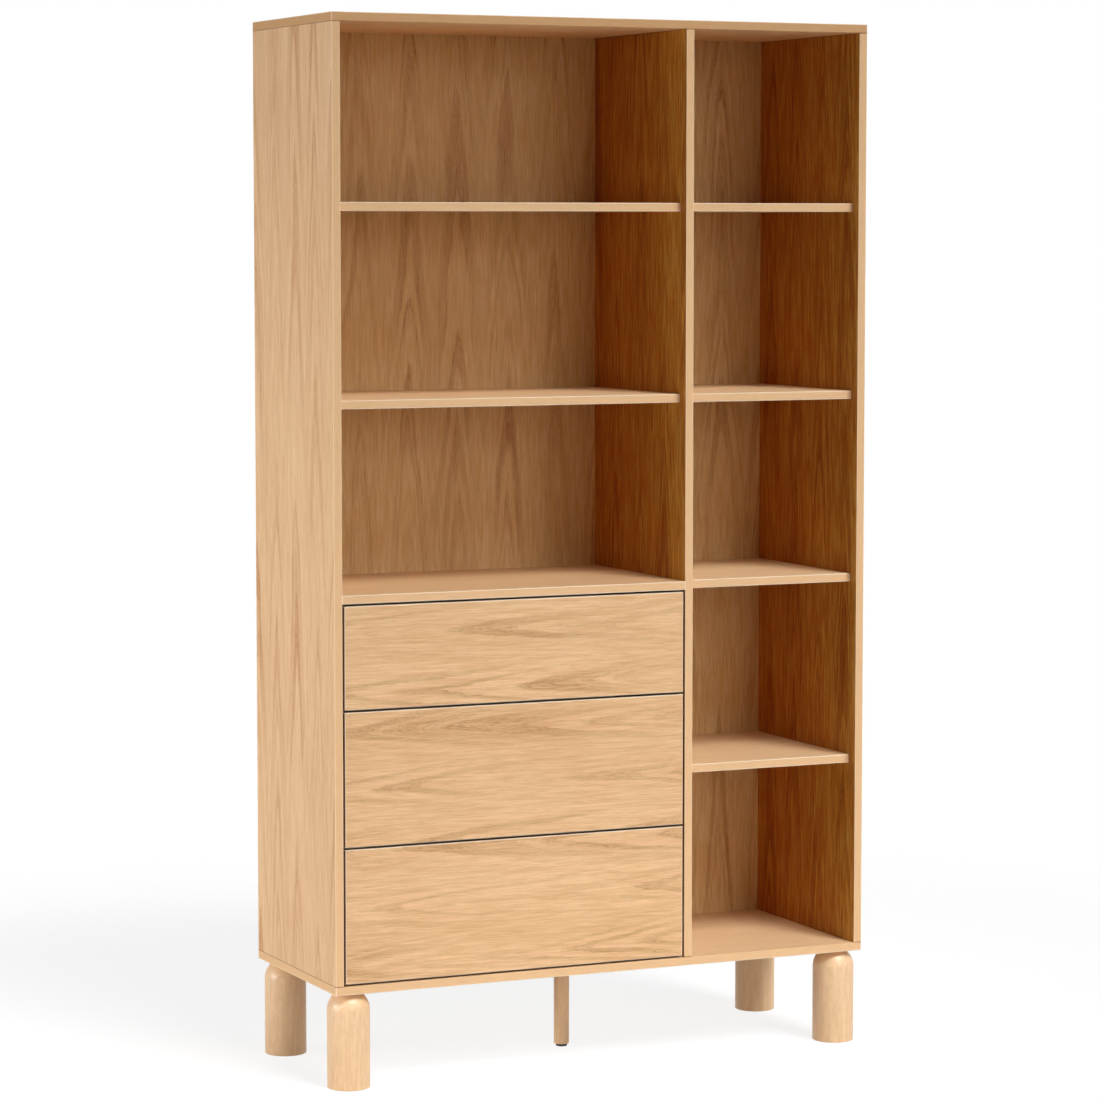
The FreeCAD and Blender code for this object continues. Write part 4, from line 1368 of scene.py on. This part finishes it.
def runner_screws(node: str, screw: Solid, sense: int) -> Solid:
    """Lay the screws of the left and the right runner along X, pointing opposite ways.

    Args:
        node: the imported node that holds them.
        screw: one upright screw.
        sense: 1 where the left ones' heads look to the right and -1 where they look to the left.

    Returns:
        All the screws.
    """
    places = islands(node)
    on_left = places[:, 0] < places[:, 0].mean()
    left = screw.turned(Axis.X, sense).copies(places[on_left])
    return left.joined(screw.turned(Axis.X, -sense).copies(places[~on_left]))


@dataclass
class Legs(Assembly):
    """Four turned corner legs, and the slim middle leg on its glide."""

    height: float = 180.0 * MM
    radius: float = 40.0 * MM
    seat_radius: float = 20.0 * MM
    foot_rounding: float = 2.0 * MM
    bore_radius: float = 4.2 * MM
    bore_depth: float = 36.0 * MM
    slim_radius: float = 15.0 * MM
    slim_rounding: float = 1.5 * MM
    glide_radius: float = 11.0 * MM
    glide_height: float = 5.0 * MM
    stem_radius: float = 4.0 * MM
    stem_length: float = 14.0 * MM
    stem_clearance: float = 0.1 * MM
    stem_room: float = 1.0 * MM
    sole_rounding: float = 1.0 * MM
    rim_rounding: float = 0.4 * MM

    def build(self) -> None:
        """Turn all the legs."""
        for row in ("front", "back"):
            places = np.round(islands(f"{row}_legs"), 3)
            for side, place in zip(("left", "right"), places):
                self.add_corner_leg(f"{row}_{side}_leg", f"{row}_legs", place)
        self.add_slim_leg()
        self.add_glide()

    def add_corner_leg(self, name: str, node: str, place: np.ndarray) -> None:
        """Turn one corner leg: rounded foot, straight shaft, domed shoulder and flat seat.

        Args:
            name: the leg's name.
            node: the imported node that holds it.
            place: the middle of its box.
        """
        ease = self.foot_rounding
        shoulder = self.height - math.sqrt(self.radius ** 2 - self.seat_radius ** 2)
        last = math.degrees(math.acos(self.seat_radius / self.radius))
        profile = np.concatenate([
            [[0, 0], [self.radius * 0.5, 0]],
            arc((self.radius - ease, ease), ease, -90, 0, 8),
            arc((0, shoulder), self.radius, 0, last, 24), self.bore(),
        ])
        leg = lathe(profile, 128).copies(np.array([[place[0], place[1], 0]]))
        finish = TurnedOak(f"oak_{name}", (place[0], place[1]))
        self.add(leg, name, finish, Slot.LEG_OAK, "carcass", node)

    def bore(self) -> list[tuple[float, float]]:
        """The profile of the bolt's hole, down from the seat to its bottom on the axis."""
        bottom = self.height - self.bore_depth
        return [(self.bore_radius, self.height), (self.bore_radius, bottom), (0, bottom)]

    def add_slim_leg(self) -> None:
        """Turn the slim leg, open below for the glide's stem."""
        ease, foot = self.slim_rounding, self.glide_height
        hole = self.stem_radius + self.stem_clearance
        deep = foot + self.stem_length + self.stem_room
        profile = np.concatenate([
            [(0, deep), (hole, deep), (hole, foot)],
            arc((self.slim_radius - ease, foot + ease), ease, -90, 0, 6),
            [(self.slim_radius, self.height)], self.bore(),
        ])
        finish = TurnedOak("oak_slim_leg", (0.0, 0.0), (0.03, 0.05), 0.0036)
        self.add(lathe(profile, 96), "slim_leg", finish, Slot.LEG_OAK, "carcass", "centre_leg")

    def add_glide(self) -> None:
        """Turn the glide: a disc with a rounded sole and a stem."""
        sole, rim = self.sole_rounding, self.rim_rounding
        radius, top = self.glide_radius, self.glide_height
        profile = np.concatenate([
            [[0, 0]], arc((radius - sole, sole), sole, -90, 0, 6),
            arc((radius - rim, top - rim), rim, 0, 90, 4),
            [[self.stem_radius, top], [self.stem_radius, top + self.stem_length],
             [0, top + self.stem_length]],
        ])
        finish = MouldedPlastic("glide_plastic")
        self.add(lathe(profile, 96), "leg_glide", finish, Slot.GLIDE, "carcass", "centre_leg_glide")


@dataclass
class Drawer(Assembly):
    """One drawer: its face, its box and its pair of runners."""

    level: str
    shift: float
    wall: float = 1.2 * MM
    bend: float = 1.6 * MM
    lip: float = 1.2 * MM
    cabinet_lip: float = 1.6 * MM
    strip_wall: float = 0.6 * MM
    strip_bend: float = 0.5 * MM
    outer_ball: float = 1.8 * MM
    inner_ball: float = 1.5 * MM
    ball_share: float = 0.62
    ball_margin: float = 8.0 * MM
    balls_in_row: int = 7
    screw_length: float = 12.0 * MM
    head_height: float = 0.5 * MM

    def build(self) -> None:
        """Dress the boards and make the runners."""
        level = self.level
        face = f"{level}_drawer_face"
        finish = VeneeredOak(
            f"oak_{face}", Board.of(face), Axis.X, Axis.Z, Axis.Y, self.shift, Points.BACKWARDS,
            GAP_SHADED_FACE_OAK,
        )
        self.dress(face, finish)
        boards = {"left": Axis.Y, "right": Axis.Y, "back": Axis.X, "bottom": Axis.X}
        for board, grain in boards.items():
            self.dress(f"{level}_drawer_{board}", PlainBoard(f"box_board_{grain.name.lower()}", grain))
        self.add_rails("cabinet", "carcass", 1, self.cabinet_lip)
        self.add_rails("middle", f"{level}_middle_rails", 1, self.lip)
        self.add_rails("drawer", f"{level}_drawer", -1, self.lip)
        self.add_cages("outer", self.outer_ball)
        self.add_cages("inner", self.inner_ball)
        self.add_screws()

    def add_rails(self, kind: str, body: str, opens: int, lip: float) -> None:
        """Roll the pair of rails of one kind: a channel with its lips turned in.

        Args:
            kind: which member of the runner.
            body: the body that it rides on.
            opens: 1 where the left rail opens to the right and -1 where it opens to the left.
            lip: how far the lips turn in past the wall.
        """
        node = f"{self.level}_{kind}_rails"
        finish = Steel("rail_steel", Axis.Y)
        pair = Solid()
        for hand, (low, high) in zip((1, -1), pair_boxes(node)):
            sense = opens * hand
            web, free = (low[0], high[0]) if sense > 0 else (high[0], low[0])
            half, wall = (high[2] - low[2]) / 2, self.wall
            inner = free - sense * wall
            corners = np.array([
                [web, -half], [free, -half], [free, wall + lip - half], [inner, wall + lip - half],
                [inner, wall - half], [web + sense * wall, wall - half],
            ])
            outline = np.concatenate([corners, corners[::-1] * (1, -1)])
            rounded = rounded_outline(outline, self.bend * 0.5) + (0, (low[2] + high[2]) / 2)
            pair = pair.joined(sweep(rounded, low[1], high[1]))
        self.add(pair, f"{self.level}_rolled_{kind}_rails", finish, Slot.RAIL, body, node)

    def add_cages(self, kind: str, ball_radius: float) -> None:
        """Make the pair of ball cages of one kind: folded strips with rows of round balls.

        Args:
            kind: which cage of the runner.
            ball_radius: the radius of its balls.
        """
        node = f"{self.level}_{kind}_ball_cages"
        ball = lathe(arc((0, 0), ball_radius, -90, 90, 13), 20)
        pair = Solid()
        for hand, (low, high) in zip((1, -1), pair_boxes(node)):
            web, free = (low[0], high[0]) if hand > 0 else (high[0], low[0])
            centre = (low[2] + high[2]) / 2
            race = (high[2] - low[2]) / 2 - ball_radius
            half, inner = race + self.strip_wall / 2, race - self.strip_wall / 2
            corners = np.array([
                [web, -half], [free, -half], [free, -inner], [web + hand * self.strip_wall, -inner],
            ])
            outline = np.concatenate([corners, corners[::-1] * (1, -1)]) + (0, centre)
            strip = rounded_outline(outline, self.strip_bend, 4)
            pair = pair.joined(sweep(strip, low[1], high[1]))
            x = web + (free - web) * self.ball_share
            rows = np.linspace(low[1] + self.ball_margin, high[1] - self.ball_margin, self.balls_in_row)
            places = np.array([[x, y, centre + sense * race] for sense in (1, -1) for y in rows])
            pair = pair.joined(ball.copies(places))
        finish = Steel("cage_steel", Axis.Y, 0xC9C6BC, 0xA8A69C, 0.34)
        name, body = f"{self.level}_{kind}_cages_with_balls", f"{self.level}_{kind}_cages"
        self.add(pair, name, finish, Slot.CAGE, body, node)

    def add_screws(self) -> None:
        """Make the drawer members' screws, whose heads look away from the box."""
        node, body = f"{self.level}_drawer_screws", f"{self.level}_drawer"
        screws = runner_screws(node, FlatScrew(self.screw_length, self.head_height).solid(), -1)
        finish = Steel("rail_screw_steel", Axis.X, rough=0.34)
        self.add(screws, f"{self.level}_drawer_member_screws", finish, Slot.SCREW, body, node)


def pair_boxes(node: str) -> list[tuple[np.ndarray, np.ndarray]]:
    """Find the boxes of the left and the right solid of a node.

    Args:
        node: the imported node's name.

    Returns:
        The lowest and highest corner of each.
    """
    places = corners_of(node)
    low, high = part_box(node)
    on_left = places[:, 0] < (low.x + high.x) / 2
    return [(side.min(0), side.max(0)) for side in (places[on_left], places[~on_left])]


@dataclass
class CabinetFittings(Assembly):
    """The screws and push-open units that stay on the case."""

    screw_length: float = 12.0 * MM
    head_height: float = 0.5 * MM

    def build(self) -> None:
        """Make the screws and dress the housings."""
        node = "cabinet_rail_screws"
        screws = runner_screws(node, FlatScrew(self.screw_length, self.head_height).solid(), 1)
        finish = Steel("rail_screw_steel", Axis.X, rough=0.34)
        self.add(screws, "cabinet_member_screws", finish, Slot.SCREW, "carcass", node)
        self.dress("push_open_units", MouldedPlastic("housing_plastic", 0x8C8F92, 0xA6A9AC))


@dataclass(frozen=True)
class SoftBox:
    """A soft box: where it hangs, what it points at, its sides, power in watts and spread."""

    name: str
    place: tuple[float, float, float]
    target: tuple[float, float, float]
    width: float
    height: float
    power: float
    spread: float = 180.0

    def hang(self) -> None:
        """Hang the lamp and turn it to its target."""
        data = bpy.data.lights.new(self.name, "AREA")
        data.shape = "RECTANGLE"
        data.size, data.size_y, data.energy = self.width, self.height, self.power
        data.spread = math.radians(self.spread)
        lamp = placed(self.name, data)
        lamp.location = self.place
        aim = Vector(self.target) - Vector(self.place)
        lamp.rotation_mode = "QUATERNION"
        lamp.rotation_quaternion = aim.to_track_quat("-Z", "Y")


@dataclass
class Studio:
    """Camera, lights, floor and world."""

    eye: tuple[float, float, float] = (-3.0839, -6.6944, 1.5859)
    yaw: float = 24.561
    pitch: float = 4.793
    focal_pixels: float = 3839.9
    sensor: float = 36.0
    view_depth: float = 100.0
    ambient: float = 0.02
    floor_half: float = 14.0
    floor_drop: float = 0.5 * MM
    floor_radius: float = 2.6
    floor_matt: float = 0.64
    floor_seen: float = 0.22
    floor_glow: float = 0.83
    boxes: tuple[SoftBox, ...] = (
        SoftBox("high_box", (1.497, -5.588, 6.594), (0.0, 0.0, -0.3), 4.0, 4.0, 51.5, 36.0),
        SoftBox("front_box", (2.113, -8.473, 1.977), (0.0, 0.0, -0.2), 4.0, 4.0, 13.5, 50.0),
        SoftBox("left_box", (-3.6, 0.1, 0.85), (-0.5, 0.0, 0.85), 1.8, 0.8, 65.0),
        SoftBox("right_box", (3.4, 1.0, 1.4), (0.5, 0.0, 1.2), 1.6, 1.6, 8.0),
        SoftBox("rear_box", (0.6, 4.0, 1.9), (0.0, 0.0, 1.0), 2.4, 1.8, 38.0),
    )

    def build(self) -> None:
        """Set everything up, with soft boxes high and level ahead, at both sides and behind."""
        bpy.context.scene.view_settings.view_transform = "Standard"
        self.add_camera()
        for box in self.boxes:
            box.hang()
        self.add_floor()
        self.light_world()

    def add_camera(self) -> None:
        """Stand the camera where the photo was taken from."""
        data = bpy.data.cameras.new("camera")
        data.sensor_width = self.sensor
        data.lens = self.focal_pixels / IMAGE_SIDE * self.sensor
        data.clip_end = self.view_depth
        camera = placed("camera", data)
        camera.location = self.eye
        camera.rotation_euler = (math.radians(90 - self.pitch), 0.0, math.radians(-self.yaw))
        bpy.context.scene.camera = camera

    def add_floor(self) -> None:
        """Lay a white floor that glows a little for the camera, so that it meets the background."""
        corners = np.array([[-1, -1, 0], [1, -1, 0], [1, 1, 0], [-1, 1, 0]]) * self.floor_half
        mesh = bpy.data.meshes.new("floor")
        mesh.from_pydata((corners - (0, 0, self.floor_drop)).tolist(), [], [(0, 1, 2, 3)])
        floor = placed("floor", mesh)
        material = bpy.data.materials.new("white_floor")
        material.use_nodes = True
        wiring = Wiring(material.node_tree)
        x, y = wiring.place(ORIGIN)[:2]
        far = (x * x + y * y).root().step(self.floor_radius * 0.5, self.floor_radius)
        matt, grey = (
            wiring.node("ShaderNodeBsdfDiffuse", None, {"Color": (level, level, level, 1)})
            for level in (self.floor_matt, self.floor_seen)
        )
        inputs = {"Color": WHITE, "Strength": self.floor_glow}
        glow = wiring.node("ShaderNodeEmission", None, inputs)
        clear = wiring.node("ShaderNodeBsdfTransparent", None, {"Color": WHITE})
        seen = wiring.node("ShaderNodeAddShader", None, {0: grey, 1: glow})
        seen = wiring.node("ShaderNodeMixShader", None, {0: far, 1: seen, 2: clear})
        shader = wiring.node("ShaderNodeMixShader", None, {0: plain_rays(wiring), 1: matt, 2: seen})
        wiring.surface("ShaderNodeOutputMaterial", {"Surface": shader})
        mesh.materials.append(material)

    def light_world(self) -> None:
        """White all round for the camera, and plain soft light for everything else."""
        world = bpy.data.worlds.new("studio")
        world.use_nodes = True
        bpy.context.scene.world = world
        wiring = Wiring(world.node_tree)
        strength = plain_rays(wiring) * (1 - self.ambient) + self.ambient
        inputs = {"Color": WHITE, "Strength": strength}
        shader = wiring.node("ShaderNodeBackground", None, inputs)
        wiring.surface("ShaderNodeOutputWorld", {"Surface": shader})


def plain_rays(wiring: Wiring) -> Signal:
    """Tell rays from the camera, off gloss or through glass from all others.

    Args:
        wiring: the wiring of a material or world.

    Returns:
        1 for those rays and 0 for others.
    """
    rays = [
        wiring.node("ShaderNodeLightPath", output=name)
        for name in ("Is Camera Ray", "Is Glossy Ray", "Is Transmission Ray")
    ]
    return rays[0].math("MAXIMUM", rays[1]).math("MAXIMUM", rays[2])


def main() -> None:
    """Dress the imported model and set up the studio."""
    logging.basicConfig(level=logging.INFO, format="%(name)s %(message)s")
    FRAME.update(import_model())
    assemblies = [Carcass(), Shelves(), Joinery(), Legs()]
    assemblies += [Drawer("lower", 21.3), Drawer("middle", 24.9), Drawer("upper", 28.7)]
    assemblies += [CabinetFittings(), Studio()]
    for assembly in assemblies:
        assembly.build()


if __name__ == "__main__":
    main()
